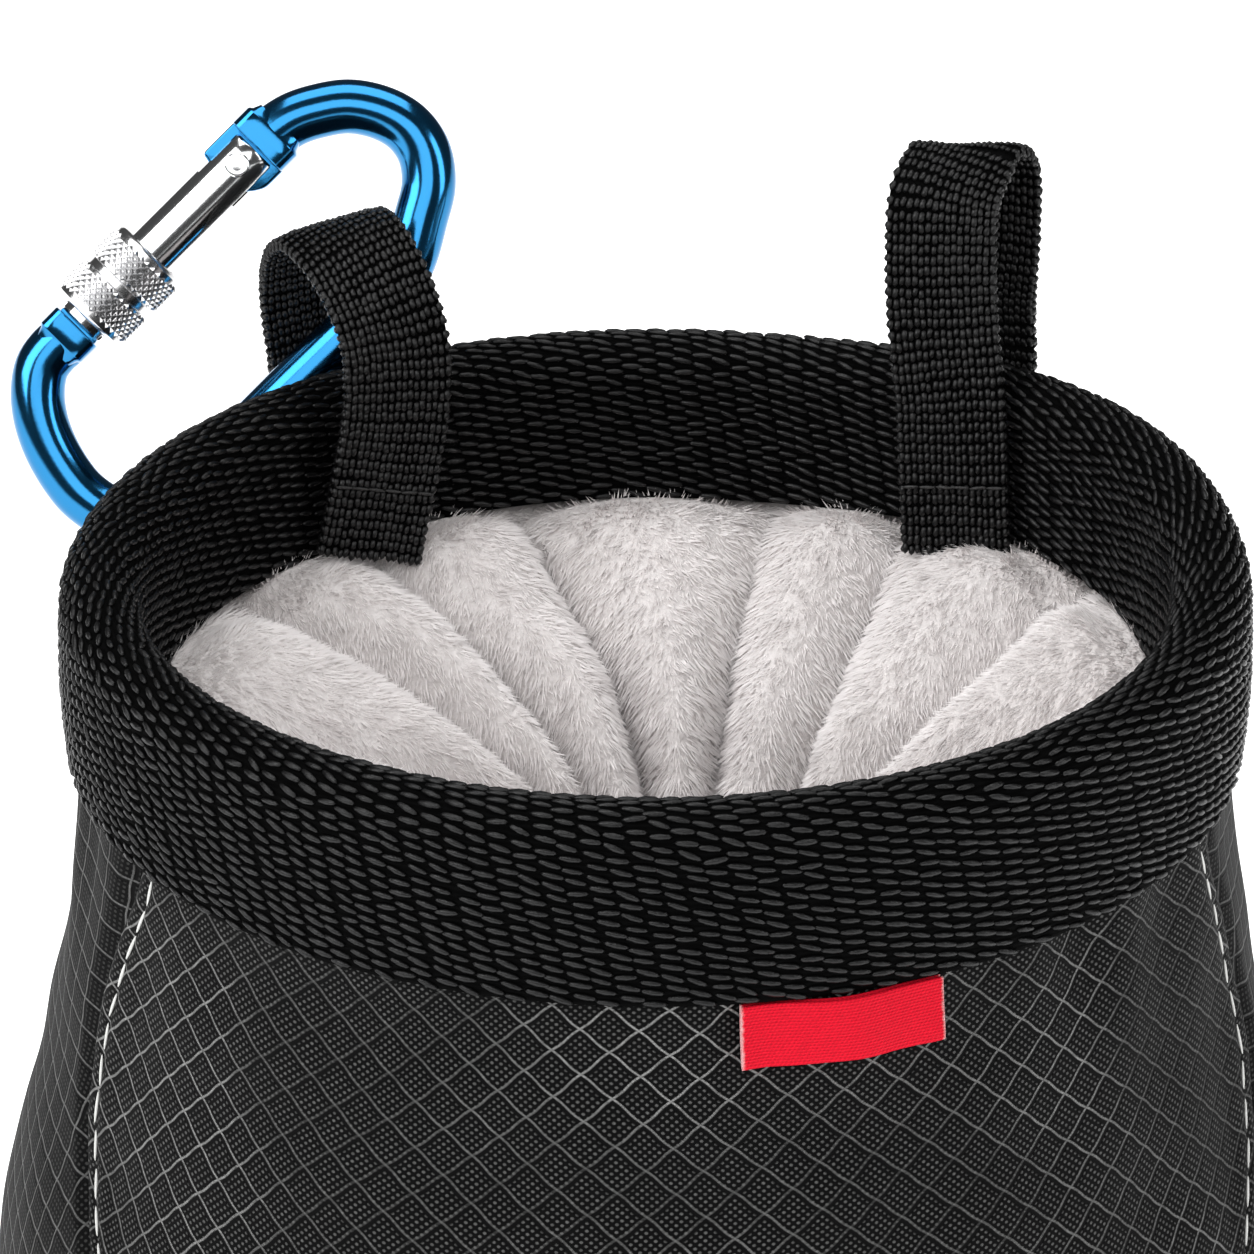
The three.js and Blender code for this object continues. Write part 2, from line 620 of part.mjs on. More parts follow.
/** The blue body: rod, flattened ends and tangs, cleared for the gate's swing. */
function carabinerGeometry() {
  const { width, rod, shoulder, noseWidth, hingeWidth, tangThickness } = CARABINER;
  let body = solid(new THREE.ExtrudeGeometry(roundShape(rodRadius, ROD_SIDES), {
    steps: ROD_STEPS,
    extrudePath: rodPath(),
    bevelEnabled: false,
  }));
  body = body.add(solid(endBlock(noseFace, -1, noseWidth)));
  body = body.add(solid(endBlock(hingeFace, 1, hingeWidth)));
  const swing = solid(alongGate(GATE.diameter / 2 + GAP, pivotAlong, gateHigh + GAP, TUBE_SIDES));
  const pivot = [pivotAlong, width, 0];
  for (let angle = 0; angle <= GATE.opening; angle += GATE.opening / 4) {
    const turnedSwing = swing.translate(pivot.map((value) => -value))
      .rotate([0, 0, angle])
      .translate(pivot);
    body = body.subtract(turnedSwing);
  }
  body = body.add(solid(hingeTang()));
  const tangReach = GATE.noseSlot - GAP;
  const tangWidth = GATE.diameter - 2 * GAP;
  body = body.add(solid(acrossGate(
    noseFace - shoulder / 2,
    noseFace + tangReach,
    tangWidth,
    tangThickness,
  )));
  body = body.subtract(solid(atPivot(GATE.rivetPin / 2 + GAP, -rod, rod, TUBE_SIDES)));
  return geometryOf(body);
}

/** The silver gate: a tube slotted at both ends for the tangs. */
function gateGeometry() {
  const radius = GATE.diameter / 2;
  const past = GATE.diameter;
  let gate = solid(alongGate(radius, gateLow, gateHigh, TUBE_SIDES));
  gate = gate.subtract(solid(alongGate(GATE.bore / 2, gateLow - past, gateHigh + past, TUBE_SIDES)));
  gate = gate.subtract(solid(acrossGate(gateLow - past, gateLow + GATE.noseSlot, past * 2, GATE.slot)));
  const hingeSlot = pivotAlong - radius - 2 * GAP;
  gate = gate.subtract(solid(acrossGate(hingeSlot, gateHigh + past, past * 2, GATE.slot)));
  gate = gate.subtract(solid(atPivot(GATE.rivetPin / 2 + GAP, -past, past, TUBE_SIDES)));
  return geometryOf(gate);
}

/** The rivet that the gate turns on, with a head on each side. */
function rivetGeometry() {
  const inner = GATE.diameter / 2 + GAP;
  const outer = inner + GATE.rivetHeadHeight;
  let rivet = solid(atPivot(GATE.rivetPin / 2, -outer, outer, TUBE_SIDES));
  rivet = rivet.add(solid(atPivot(GATE.rivetHead / 2, inner, outer, TUBE_SIDES)));
  rivet = rivet.add(solid(atPivot(GATE.rivetHead / 2, -outer, -inner, TUBE_SIDES)));
  return geometryOf(rivet);
}

/** The knurled sleeve with its round groove, on the gate. */
function sleeveGeometry() {
  const inner = GATE.diameter / 2 + GAP;
  const outer = SLEEVE.diameter / 2;
  const half = SLEEVE.length / 2;
  const { groove, grooveDepth, chamfer } = SLEEVE;
  const outline = [
    [inner, -half], [outer - chamfer, -half], [outer, chamfer - half],
    [outer, -groove], [outer - grooveDepth, -groove / 2],
    [outer - grooveDepth, groove / 2], [outer, groove],
    [outer, half - chamfer], [outer - chamfer, half], [inner, half],
  ];
  const middle = noseFace + SLEEVE.noseInset + half;
  return turned(outline, SLEEVE_SIDES).rotateY(Math.PI / 2).translate(middle, CARABINER.width, 0);
}

// Finishes

const BLACK_WEBBING = { color: 0x1b1b1d, roughness: 0.85, metalness: 0 };
const RIPSTOP = { color: 0x2a2a2d, roughness: 0.8, metalness: 0 };
const COARSE_WEAVE = { color: 0x161618, roughness: 0.9, metalness: 0 };
const FLEECE = { color: 0xe6e2dc, roughness: 1, metalness: 0 };
const RED_TAPE = { color: 0xb3121d, roughness: 0.7, metalness: 0 };
const BLUE_ANODISED = { color: 0x2b8fd6, roughness: 0.22, metalness: 0.9 };
const POLISHED_STEEL = { color: 0xd2d4d6, roughness: 0.15, metalness: 1 };

// Scene

const bag = new THREE.Group();
bag.add(
  piece('rim_binding', rimGeometry(), BLACK_WEBBING),
  piece('fleece_collar', collarGeometry(), FLEECE),
  piece('front_panel', panelGeometry(seamAt('front', -1), seamAt('front', 1), 20), RIPSTOP),
  piece('side_gusset_right', panelGeometry(seamAt('front', 1), seamAt('side', 1), 6), RIPSTOP),
  piece('side_gusset_left', panelGeometry(seamAt('side', -1), seamAt('front', -1), 6), RIPSTOP),
  piece('back_panel', panelGeometry(
    seamAt('side', 1),
    (row) => seamAt('side', -1)(row) + 2 * Math.PI,
    24,
  ), COARSE_WEAVE),
  piece('base_panel', baseGeometry(), COARSE_WEAVE),
  piece('label', labelGeometry(), RED_TAPE),
  piece('loop_right', strapGeometry(RIGHT_STRAP_ROWS, STRAP.rightRise, 1), BLACK_WEBBING),
  piece('loop_left', strapGeometry(LEFT_STRAP_ROWS, STRAP.leftRise, -1), BLACK_WEBBING),
);

const clip = new THREE.Group();
clip.rotation.x = Math.PI / 2;
clip.add(
  piece('carabiner_body', carabinerGeometry(), BLUE_ANODISED),
  piece('carabiner_gate', gateGeometry(), POLISHED_STEEL),
  piece('gate_rivet', rivetGeometry(), POLISHED_STEEL),
  piece('gate_sleeve', sleeveGeometry(), POLISHED_STEEL),
);

const clipPlace = new THREE.Group();
const seatAzimuth = degrees(CARABINER.seatAzimuth);
const seatLift = degrees(CARABINER.seatLift);
const seatRadius = RIM.crestRadius + seatDistance * Math.cos(seatLift);
clipPlace.position.set(
  -seatRadius * Math.sin(seatAzimuth),
  seatRadius * Math.cos(seatAzimuth),
  RIM.crestHeight - RIM.padRadius + seatDistance * Math.sin(seatLift),
);
clipPlace.rotation.set(-degrees(CARABINER.lean), -degrees(CARABINER.slope), 0);
clipPlace.add(clip);
bag.add(clipPlace);

export default bag;
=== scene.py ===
"""Visual model of a climbing chalk bag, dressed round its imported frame.

Sizes are kept in millimetres in the classes below, and turned into metres where a mesh is made.
The frame's own axes hold throughout: the floor is z = 0 and the bag's front faces -Y.
"""

import logging
import math
from dataclasses import dataclass, field
from enum import Enum
from typing import Any, Mapping, Sequence

import bpy
import numpy as np
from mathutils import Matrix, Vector


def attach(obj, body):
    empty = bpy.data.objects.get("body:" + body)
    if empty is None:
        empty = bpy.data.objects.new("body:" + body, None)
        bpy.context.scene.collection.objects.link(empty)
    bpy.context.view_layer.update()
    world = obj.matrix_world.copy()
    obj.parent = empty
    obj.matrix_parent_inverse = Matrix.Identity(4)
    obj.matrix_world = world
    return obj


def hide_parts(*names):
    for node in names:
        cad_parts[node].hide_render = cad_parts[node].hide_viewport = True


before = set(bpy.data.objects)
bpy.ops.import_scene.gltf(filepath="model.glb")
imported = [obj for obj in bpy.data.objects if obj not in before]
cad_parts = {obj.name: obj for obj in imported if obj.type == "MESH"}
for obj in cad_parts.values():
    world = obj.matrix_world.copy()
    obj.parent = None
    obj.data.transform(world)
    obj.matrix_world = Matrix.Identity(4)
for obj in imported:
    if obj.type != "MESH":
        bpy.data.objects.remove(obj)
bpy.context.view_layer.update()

LOG = logging.getLogger("chalk_bag")
MM = 0.001
FULL_TURN = 2 * math.pi
SHARP = math.radians(35)

Array = np.ndarray
Colour = tuple[float, float, float]


class Body(Enum):
    """Moving bodies of the frame that a piece can ride on."""

    BAG = "bag"
    GATE = "gate"
    SLEEVE = "sleeve"


class Slot(Enum):
    """Material slots of the record."""

    WEBBING = "webbing"
    FLEECE = "fleece"
    RIPSTOP = "ripstop"
    COARSE_WEAVE = "coarse_weave"
    LABEL_TAPE = "label_tape"
    BLUE_ANODISED = "blue_anodised"
    POLISHED_STEEL = "polished_steel"


class Grain(Enum):
    """Small closed shapes that are laid out many times by Geometry Nodes."""

    SPINDLE = "spindle"
    TUFT = "tuft"
    STUD = "stud"


# Node trees


@dataclass(frozen=True)
class Term:
    """A number socket that Python arithmetic extends with Math nodes."""

    graph: "Graph"
    socket: bpy.types.NodeSocket

    def math(self, operation: str, *others: "Term | float", before: bool = False) -> "Term":
        """Adds a Math node.

        Args:
            operation: The node's operation.
            others: Its further inputs.
            before: True where the single other input comes first.
        """
        order = (*others, self) if before else (self, *others)
        return self.graph.term("ShaderNodeMath", {"operation": operation}, dict(enumerate(order)))

    def __add__(self, other: "Term | float") -> "Term":
        """Sum."""
        return self.math("ADD", other)

    def __sub__(self, other: "Term | float") -> "Term":
        """Difference."""
        return self.math("SUBTRACT", other)

    def __rsub__(self, other: float) -> "Term":
        """Difference from a number."""
        return self.math("SUBTRACT", other, before=True)

    def __mul__(self, other: "Term | float") -> "Term":
        """Product."""
        return self.math("MULTIPLY", other)

    def __truediv__(self, other: "Term | float") -> "Term":
        """Quotient."""
        return self.math("DIVIDE", other)

    __radd__ = __add__
    __rmul__ = __mul__

    def fraction(self) -> "Term":
        """Part after the decimal point."""
        return self.math("FRACT")

    def sine(self) -> "Term":
        """Sine of an angle in radians."""
        return self.math("SINE")

    def size(self) -> "Term":
        """Value without its sign."""
        return self.math("ABSOLUTE")

    def larger(self, other: "Term | float") -> "Term":
        """Larger of two values."""
        return self.math("MAXIMUM", other)

    def step(self, start: float, end: float) -> "Term":
        """Smooth step from 0 at start to 1 at end."""
        return self.graph.term(
            "ShaderNodeMapRange",
            {"interpolation_type": "SMOOTHSTEP"},
            {0: self, 1: start, 2: end, 3: 0.0, 4: 1.0},
        )


class Graph:
    """A node tree under construction."""

    def __init__(self, tree: bpy.types.NodeTree) -> None:
        """Takes a tree as it is."""
        self.tree = tree

    def node(
        self,
        kind: str,
        settings: Mapping[str, Any] | None = None,
        values: Mapping[str | int, Any] | None = None,
    ) -> bpy.types.Node:
        """Adds a node.

        Args:
            kind: The node's type.
            settings: Its properties, set first. "stops" holds a ramp's places and colours.
            values: Values or links of its sockets, by name or place.
        """
        made = self.tree.nodes.new(kind)
        for name, value in (settings or {}).items():
            if name == "stops":
                self._set_stops(made.color_ramp, value)
            else:
                setattr(made, name, value)
        for key, value in (values or {}).items():
            self.feed(made.inputs[key], value)
        return made

    def feed(self, socket: bpy.types.NodeSocket, value: Any) -> None:
        """Links a term or a socket to an input, or sets the input's own value.

        Args:
            socket: The input.
            value: A term, a socket or a plain value.
        """
        source = value.socket if isinstance(value, Term) else value
        if isinstance(source, bpy.types.NodeSocket):
            self.tree.links.new(source, socket)
        else:
            socket.default_value = source

    def term(
        self,
        kind: str,
        settings: Mapping[str, Any] | None = None,
        values: Mapping[str | int, Any] | None = None,
        output: str | int = 0,
    ) -> Term:
        """Adds a node and wraps one of its outputs.

        Args:
            kind: The node's type.
            settings: Its properties.
            values: Values or links of its sockets.
            output: The output's name or place.
        """
        return Term(self, self.node(kind, settings, values).outputs[output])

    def mix(self, share: Term | float, low: Any, high: Any) -> Term:
        """Mixes two colours.

        Args:
            share: Share of the second colour.
            low: First colour.
            high: Second colour.
        """
        low, high = (with_alpha(c) if isinstance(c, tuple) else c for c in (low, high))
        return self.term("ShaderNodeMix", {"data_type": "RGBA"}, {0: share, 6: low, 7: high}, 2)

    def noise(self, place: Term, scale: float, detail: float = 2.0) -> Term:
        """Noise from 0 to 1 at a place.

        Args:
            place: Coordinates.
            scale: Features for each unit of the coordinates.
            detail: Octaves.
        """
        values = {"Vector": place, "Scale": scale, "Detail": detail}
        return self.term("ShaderNodeTexNoise", None, values)

    @staticmethod
    def _set_stops(ramp: bpy.types.ColorRamp, stops: Sequence[tuple[float, Colour]]) -> None:
        """Gives a ramp its stops, each a place and a colour."""
        while len(ramp.elements) > 1:
            ramp.elements.remove(ramp.elements[-1])
        for index, (place, colour) in enumerate(stops):
            stop = ramp.elements[0] if index == 0 else ramp.elements.new(place)
            stop.position = place
            stop.color = with_alpha(colour)


def with_alpha(colour: Colour) -> tuple[float, float, float, float]:
    """Colour with full alpha."""
    return (*colour, 1.0)


class Surface(Graph):
    """A material under construction, with one Principled shader."""

    def __init__(self, name: str, **constants: Any) -> None:
        """Starts a material.

        Args:
            name: The material's name.
            constants: The shader's own values, with underscores for spaces in their names.
        """
        self.material = bpy.data.materials.new(name)
        self.material.use_nodes = True
        super().__init__(self.material.node_tree)
        self.shader = self.tree.nodes["Principled BSDF"]
        for key, value in constants.items():
            plain = with_alpha(value) if isinstance(value, tuple) and len(value) == 3 else value
            self.shader.inputs[key.replace("_", " ")].default_value = plain

    def place(self) -> Term:
        """Object coordinates, in metres."""
        return self.term("ShaderNodeTexCoord", output="Object")

    def cloth(self) -> tuple[Term, Term]:
        """The cloth's own coordinates across and down, in millimetres."""
        split = self.node(
            "ShaderNodeSeparateXYZ",
            values={0: self.term("ShaderNodeUVMap", {"uv_map": "cloth"})},
        )
        return Term(self, split.outputs[0]), Term(self, split.outputs[1])

    def attribute(self, name: str) -> Term:
        """A number stored on the mesh."""
        return self.term("ShaderNodeAttribute", {"attribute_name": name}, output="Fac")

    def finish(self, **links: Term) -> bpy.types.Material:
        """Feeds what varies over the surface and returns the material.

        Args:
            links: Terms for the shader's sockets, with underscores for spaces.
        """
        for key, value in links.items():
            self.feed(self.shader.inputs[key.replace("_", " ")], value)
        return self.material

    def bump(self, height: Term, depth: float) -> Term:
        """Normal bent by a height from 0 to 1.

        Args:
            height: The relief.
            depth: Real height of the relief, in millimetres.
        """
        values = {"Height": height, "Distance": depth * MM, "Strength": 1.0}
        return self.term("ShaderNodeBump", None, values)


# Finishes


@dataclass(frozen=True)
class YarnFinish:
    """Twisted filament yarn, a little glossy."""

    name: str
    colour: Colour = (0.0045, 0.0045, 0.0047)
    spread: float = 0.6
    roughness: float = 0.4
    fibre: float = 0.16
    shine: float = 0.24

    def material(self) -> bpy.types.Material:
        """Builds the material."""
        surface = Surface(self.name, Specular_IOR_Level=self.shine)
        place = surface.place()
        cloudy = surface.noise(place, scale=120.0, detail=3.0)
        fibres = surface.noise(place, scale=1 / (self.fibre * MM), detail=2.0)
        share = 0.35 * cloudy + 0.65 * fibres
        low = tuple(c * (1 - self.spread) for c in self.colour)
        high = tuple(c * (1 + self.spread) for c in self.colour)
        return surface.finish(
            Base_Color=surface.mix(share, low, high),
            Roughness=self.roughness - 0.12 + 0.24 * cloudy,
            Normal=surface.bump(fibres, depth=0.05),
        )


@dataclass(frozen=True)
class GroundFinish:
    """Dark cross yarns that show between the floats of a webbing."""

    name: str
    colour: Colour = (0.002, 0.002, 0.0021)
    pitch: float = 0.7

    def material(self) -> bpy.types.Material:
        """Builds the material."""
        surface = Surface(self.name, Specular_IOR_Level=0.04)
        _, down = surface.cloth()
        yarns = ((2 * math.pi / self.pitch) * down).sine() * 0.5 + 0.5
        grit = surface.noise(surface.place(), scale=2500.0, detail=2.0)
        return surface.finish(
            Base_Color=surface.mix(yarns * grit, (0.0005, 0.0005, 0.0005), self.colour),
            Roughness=0.8 + 0.15 * grit,
            Normal=surface.bump(yarns + 0.3 * grit, depth=0.08),
        )


@dataclass(frozen=True)
class RipstopFinish:
    """Black cloth with a light dotted weave, in cells between raised ribs; the ribs carry patches
    of painted light, the dots and ribs painted glints, and the groove beside each rib a painted
    shadow.
    """

    name: str
    angle: float
    pitch: float = 3.72
    stretch: tuple[float, float] = (1.065, 0.9)
    dots: float = 6.0
    rib: float = 0.07
    sway: float = 0.02
    black: Colour = (0.0012, 0.0012, 0.0013)
    dotted: Colour = (0.1, 0.1, 0.098)
    ribbed: Colour = (0.27, 0.27, 0.265)

    def material(self) -> bpy.types.Material:
        """Builds the material."""
        surface = Surface(self.name, Specular_IOR_Level=0.06)
        place = surface.place()
        across, down = surface.cloth()
        across, down = across / self.stretch[0], down / self.stretch[1]
        wander = surface.noise(place, scale=42.0, detail=1.0) - 0.5
        angle = math.radians(self.angle)
        first = (math.cos(angle) * across + math.sin(angle) * down) / self.pitch + 0.5 * wander
        second = (math.cos(angle) * down - math.sin(angle) * across) / self.pitch - 0.4 * wander
        ribs, shaded_grooves, weave = [], [], []
        for axis, other in ((first, second), (second, first)):
            share = (axis + self.sway * (FULL_TURN * other).sine()).fraction()
            width = self.rib
            ribs.append(1 - (share - 0.5 * width).size().step(0.3 * width, 0.7 * width))
            # Groove beside each rib: dented in the relief, and darkened in the colour as painted
            # shadow.
            shaded_grooves.append(1 - (share - 1.9 * width).size().step(0.4 * width, 1.3 * width))
            weave.append(((FULL_TURN * self.dots) * axis).sine() * 0.5 + 0.5)
        # Painted light: noise patches that brighten the ribs; the first rib direction also starts
        # darker, as its painted shaded side.
        lit = surface.noise(place, scale=30.0, detail=1.0).step(0.38, 0.6)
        # Painted glints: fine noise that brightens the dots and the ribs.
        shine = surface.noise(place, scale=1100.0, detail=2.0)
        rib = (ribs[0] * (0.12 + 0.88 * lit)).larger(ribs[1] * (0.3 + 0.7 * lit))
        gap = shaded_grooves[0].larger(shaded_grooves[1])
        dots = (weave[0] * weave[1]).step(0.2, 0.7)
        # The dots are left out of the groove's painted shadow and of the ribs.
        cell = dots * (1 - gap) * (1 - rib)
        ground = surface.mix(cell * (0.25 + 1.1 * shine), self.black, self.dotted)
        colour = surface.mix(rib * (0.2 + 1.2 * shine).math("MINIMUM", 1.0), ground, self.ribbed)
        relief = rib + 0.45 * dots * (1 - gap) - 0.4 * gap
        return surface.finish(
            Base_Color=colour,
            Roughness=0.62 - 0.12 * rib,
            Normal=surface.bump(relief, depth=0.22),
        )


@dataclass(frozen=True)
class CoarseWeaveFinish:
    """Black coarse plain weave."""

    name: str
    pitch: float = 1.15

    def material(self) -> bpy.types.Material:
        """Builds the material."""
        surface = Surface(self.name, Specular_IOR_Level=0.1)
        across, down = surface.cloth()
        turn = math.pi / self.pitch
        warp, weft = (turn * across).sine(), (turn * down).sine()
        over = (warp * weft).step(-0.5, 0.5)
        humps = over * (turn * across).sine().size() + (1 - over) * (turn * down).sine().size()
        grit = surface.noise(surface.place(), scale=1500.0, detail=3.0)
        share = humps * (0.4 + 0.8 * grit)
        return surface.finish(
            Base_Color=surface.mix(share, (0.0008, 0.0008, 0.0009), (0.022, 0.022, 0.0225)),
            Roughness=0.6 + 0.2 * grit,
            Normal=surface.bump(humps + 0.2 * grit, depth=0.3),
        )


@dataclass(frozen=True)
class PileFinish:
    """Plush fleece: the fibres from root to tip, painted darker towards the root as painted shade
    in the pile, or the cloth below them, which mixes that shaded root colour with the tip colour.
    """

    name: str
    # Root colour: the fleece darkened as painted shade under the pile.
    shaded_root: Colour = (0.54, 0.5, 0.49)
    tip: Colour = (0.88, 0.845, 0.84)
    fibres: bool = True

    def material(self) -> bpy.types.Material:
        """Builds the material."""
        surface = Surface(self.name, Roughness=0.9, Specular_IOR_Level=0.1)
        cloudy = surface.noise(surface.place(), scale=70.0, detail=3.0)
        if not self.fibres:
            grit = surface.noise(surface.place(), scale=1400.0, detail=3.0)
            # The cloth below the pile mixes the painted-shade root colour with the tip colour.
            colour = surface.mix(0.5 * cloudy + 0.5 * grit, self.shaded_root, self.tip)
            return surface.finish(Base_Color=colour, Normal=surface.bump(grit, depth=0.5))
        # Painted shade in the pile: each tuft darkens from its tip to its root.
        share = surface.attribute("reach").step(-0.2, 0.5)
        tone = 0.45 * cloudy + 0.55 * surface.attribute("tone")
        middle = tuple(0.5 * (a + b) for a, b in zip(self.shaded_root, self.tip))
        low = surface.mix(tone, self.shaded_root, middle)
        high = surface.mix(tone, tuple(0.93 * c for c in self.tip), self.tip)
        return surface.finish(Base_Color=surface.mix(share, low, high))


@dataclass(frozen=True)
class TapeFinish:
    """Red woven tape with pale cut edges."""

    name: str
    width: float
    red: Colour = (0.86, 0.008, 0.03)
    pale: Colour = (0.85, 0.5, 0.5)
    weft: float = 0.32
    warp: float = 0.42

    def material(self) -> bpy.types.Material:
        """Builds the material."""
        surface = Surface(self.name, Specular_IOR_Level=0.08)
        across, down = surface.cloth()
        grit = surface.noise(surface.place(), scale=1800.0, detail=3.0)
        twill = ((2 * math.pi / self.weft) * down).sine() * 0.5 + 0.5
        slant = ((2 * math.pi / self.warp) * (across + 0.6 * down)).sine() * 0.5 + 0.5
        weave = 0.6 * twill + 0.4 * slant
        fray = (across.size() + 0.5 * grit).step(self.width / 2 - 0.1, self.width / 2 + 0.35)
        cloth = surface.mix(weave * (0.5 + grit), tuple(0.62 * c for c in self.red), self.red)
        return surface.finish(
            Base_Color=surface.mix(fray, cloth, self.pale),
            Roughness=0.5 + 0.2 * grit,
            Normal=surface.bump(weave + 0.3 * grit, depth=0.12),
        )


@dataclass(frozen=True)
class MetalFinish:
    """Polished metal with a faint drawn grain."""

    name: str
    colour: Colour
    roughness: float
    grain: float = 0.02
    coat: float = 0.0

    def material(self) -> bpy.types.Material:
        """Builds the material."""
        surface = Surface(
            self.name, Metallic=1.0, Coat_Weight=self.coat, Coat_Roughness=0.06, Coat_IOR=1.5,
        )
        smear = surface.noise(surface.place(), scale=160.0, detail=4.0)
        grit = surface.noise(surface.place(), scale=2600.0, detail=2.0)
        dim = tuple(0.92 * c for c in self.colour)
        return surface.finish(
            Base_Color=surface.mix(smear, dim, self.colour),
            Roughness=self.roughness + self.grain * smear,
            Normal=surface.bump(grit, depth=0.004),
        )


@dataclass(frozen=True)
class FloorFinish:
    """White paper sweep, lit a little from below so that it stays even."""

    name: str
    glow: float

    def material(self) -> bpy.types.Material:
        """Builds the material."""
        surface = Surface(
            self.name, Roughness=0.9, Emission_Color=(1.0, 1.0, 1.0), Emission_Strength=self.glow,
        )
        soft = surface.noise(surface.place(), scale=9.0, detail=2.0)
        return surface.finish(Base_Color=surface.mix(soft, (0.9, 0.9, 0.9), (0.93, 0.93, 0.93)))


# Numbers and meshes


def lerp(low: Any, high: Any, share: Any) -> Any:
    """Value between two others."""
    return low + (high - low) * share


def smooth(value: Array | float, start: Any, end: Any) -> Array:
    """Smooth step from 0 at start to 1 at end."""
    share = np.clip((value - start) / (np.asarray(end) - start), 0.0, 1.0)
    return share * share * (3 - 2 * share)


def unit(vectors: Array) -> Array:
    """Vectors at length 1."""
    return vectors / np.maximum(np.linalg.norm(vectors, axis=-1, keepdims=True), 1e-12)


def ripple(points: Array, wavelength: float, seed: int, waves: int = 7) -> Array:
    """Soft uneven height at each point, from about -1 to 1.

    Args:
        points: Places in millimetres, with x, y, z last.
        wavelength: Usual distance from crest to crest.
        seed: Seed of the waves' directions.
        waves: How many waves are summed.
    """
    dice = np.random.default_rng(seed)
    ways = unit(dice.normal(size=(waves, 3))) * dice.uniform(0.7, 1.4, size=(waves, 1))
    phases = dice.uniform(0, 2 * math.pi, size=waves)
    return np.sin(points @ ways.T * (2 * math.pi / wavelength) + phases).sum(-1) / math.sqrt(waves)


def circle(count: int) -> Array:
    """Even angles of a full turn, in radians."""
    return np.linspace(0, FULL_TURN, count, endpoint=False)


def cell_numbers(rows: int, columns: int) -> tuple[Array, Array]:
    """Row and column of every cell of a grid."""
    row, column = np.indices((rows, columns))
    return row.ravel(), column.ravel()


def cloth_grid(across: Array, down: Array) -> Array:
    """The cloth's coordinates on a grid, from its columns and its rows."""
    return np.stack(np.broadcast_arrays(across, down[:, None]), -1)


def hermite(start: Array, end: Array, pull_in: Array, pull_out: Array, share: Array) -> Array:
    """Cubic between two points that leaves and arrives with the given slopes."""
    cubic = 2 * start - 2 * end + pull_in + pull_out
    square = -3 * start + 3 * end - 2 * pull_in - pull_out
    return ((cubic * share + square) * share + pull_in) * share + start


def through(table: Array, place: Array) -> Array:
    """Smooth curve through the rows of a table.

    Args:
        table: Rows of values.
        place: Places along the rows, from 0 to the last row's number.
    """
    place = np.clip(np.asarray(place, float), 0, len(table) - 1)
    low = np.clip(np.floor(place).astype(int), 0, len(table) - 2)
    share = (place - low)[..., None]
    rows = [table[np.clip(low + step, 0, len(table) - 1)] for step in (-1, 0, 1, 2)]
    pull_in, pull_out = (rows[2] - rows[0]) / 2, (rows[3] - rows[1]) / 2
    return hermite(rows[1], rows[2], pull_in, pull_out, share)


def centripetal(points: Array, shares: Array) -> Array:
    """Centripetal Catmull-Rom curve through points, as the frame's own sweeps follow.

    Args:
        points: The points.
        shares: Places from 0 to 1, even from point to point.
    """
    first, last = 2 * points[0] - points[1], 2 * points[-1] - points[-2]
    padded = np.vstack([first, points, last])
    place = np.clip(shares, 0, 1) * (len(points) - 1)
    low = np.clip(np.floor(place).astype(int), 0, len(points) - 2)
    share = (place - low)[:, None]
    p0, p1, p2, p3 = (padded[low + step] for step in range(4))
    d0, d1, d2 = (
        np.sqrt(np.linalg.norm(b - a, axis=1, keepdims=True))
        for a, b in ((p0, p1), (p1, p2), (p2, p3))
    )
    pull_in = ((p1 - p0) / d0 - (p2 - p0) / (d0 + d1) + (p2 - p1) / d1) * d1
    pull_out = ((p2 - p1) / d1 - (p3 - p1) / (d1 + d2) + (p3 - p2) / d2) * d1
    return hermite(p1, p2, pull_in, pull_out, share)


def lengths(points: Array) -> Array:
    """Distance along a polyline to each of its points."""
    steps = np.linalg.norm(np.diff(points, axis=0), axis=1)
    return np.concatenate([[0.0], np.cumsum(steps)])


def evenly(points: Array, count: int) -> Array:
    """Points at even distances along a polyline.

    Args:
        points: The polyline.
        count: How many points come back, both ends included.
    """
    run = lengths(points)
    wanted = np.linspace(0, run[-1], count)
    return np.stack([np.interp(wanted, run, points[:, axis]) for axis in range(points.shape[1])], 1)


def linked(name: str, data: Any) -> bpy.types.Object:
    """New object in the scene that holds some data."""
    made = bpy.data.objects.new(name, data)
    bpy.context.scene.collection.objects.link(made)
    return made


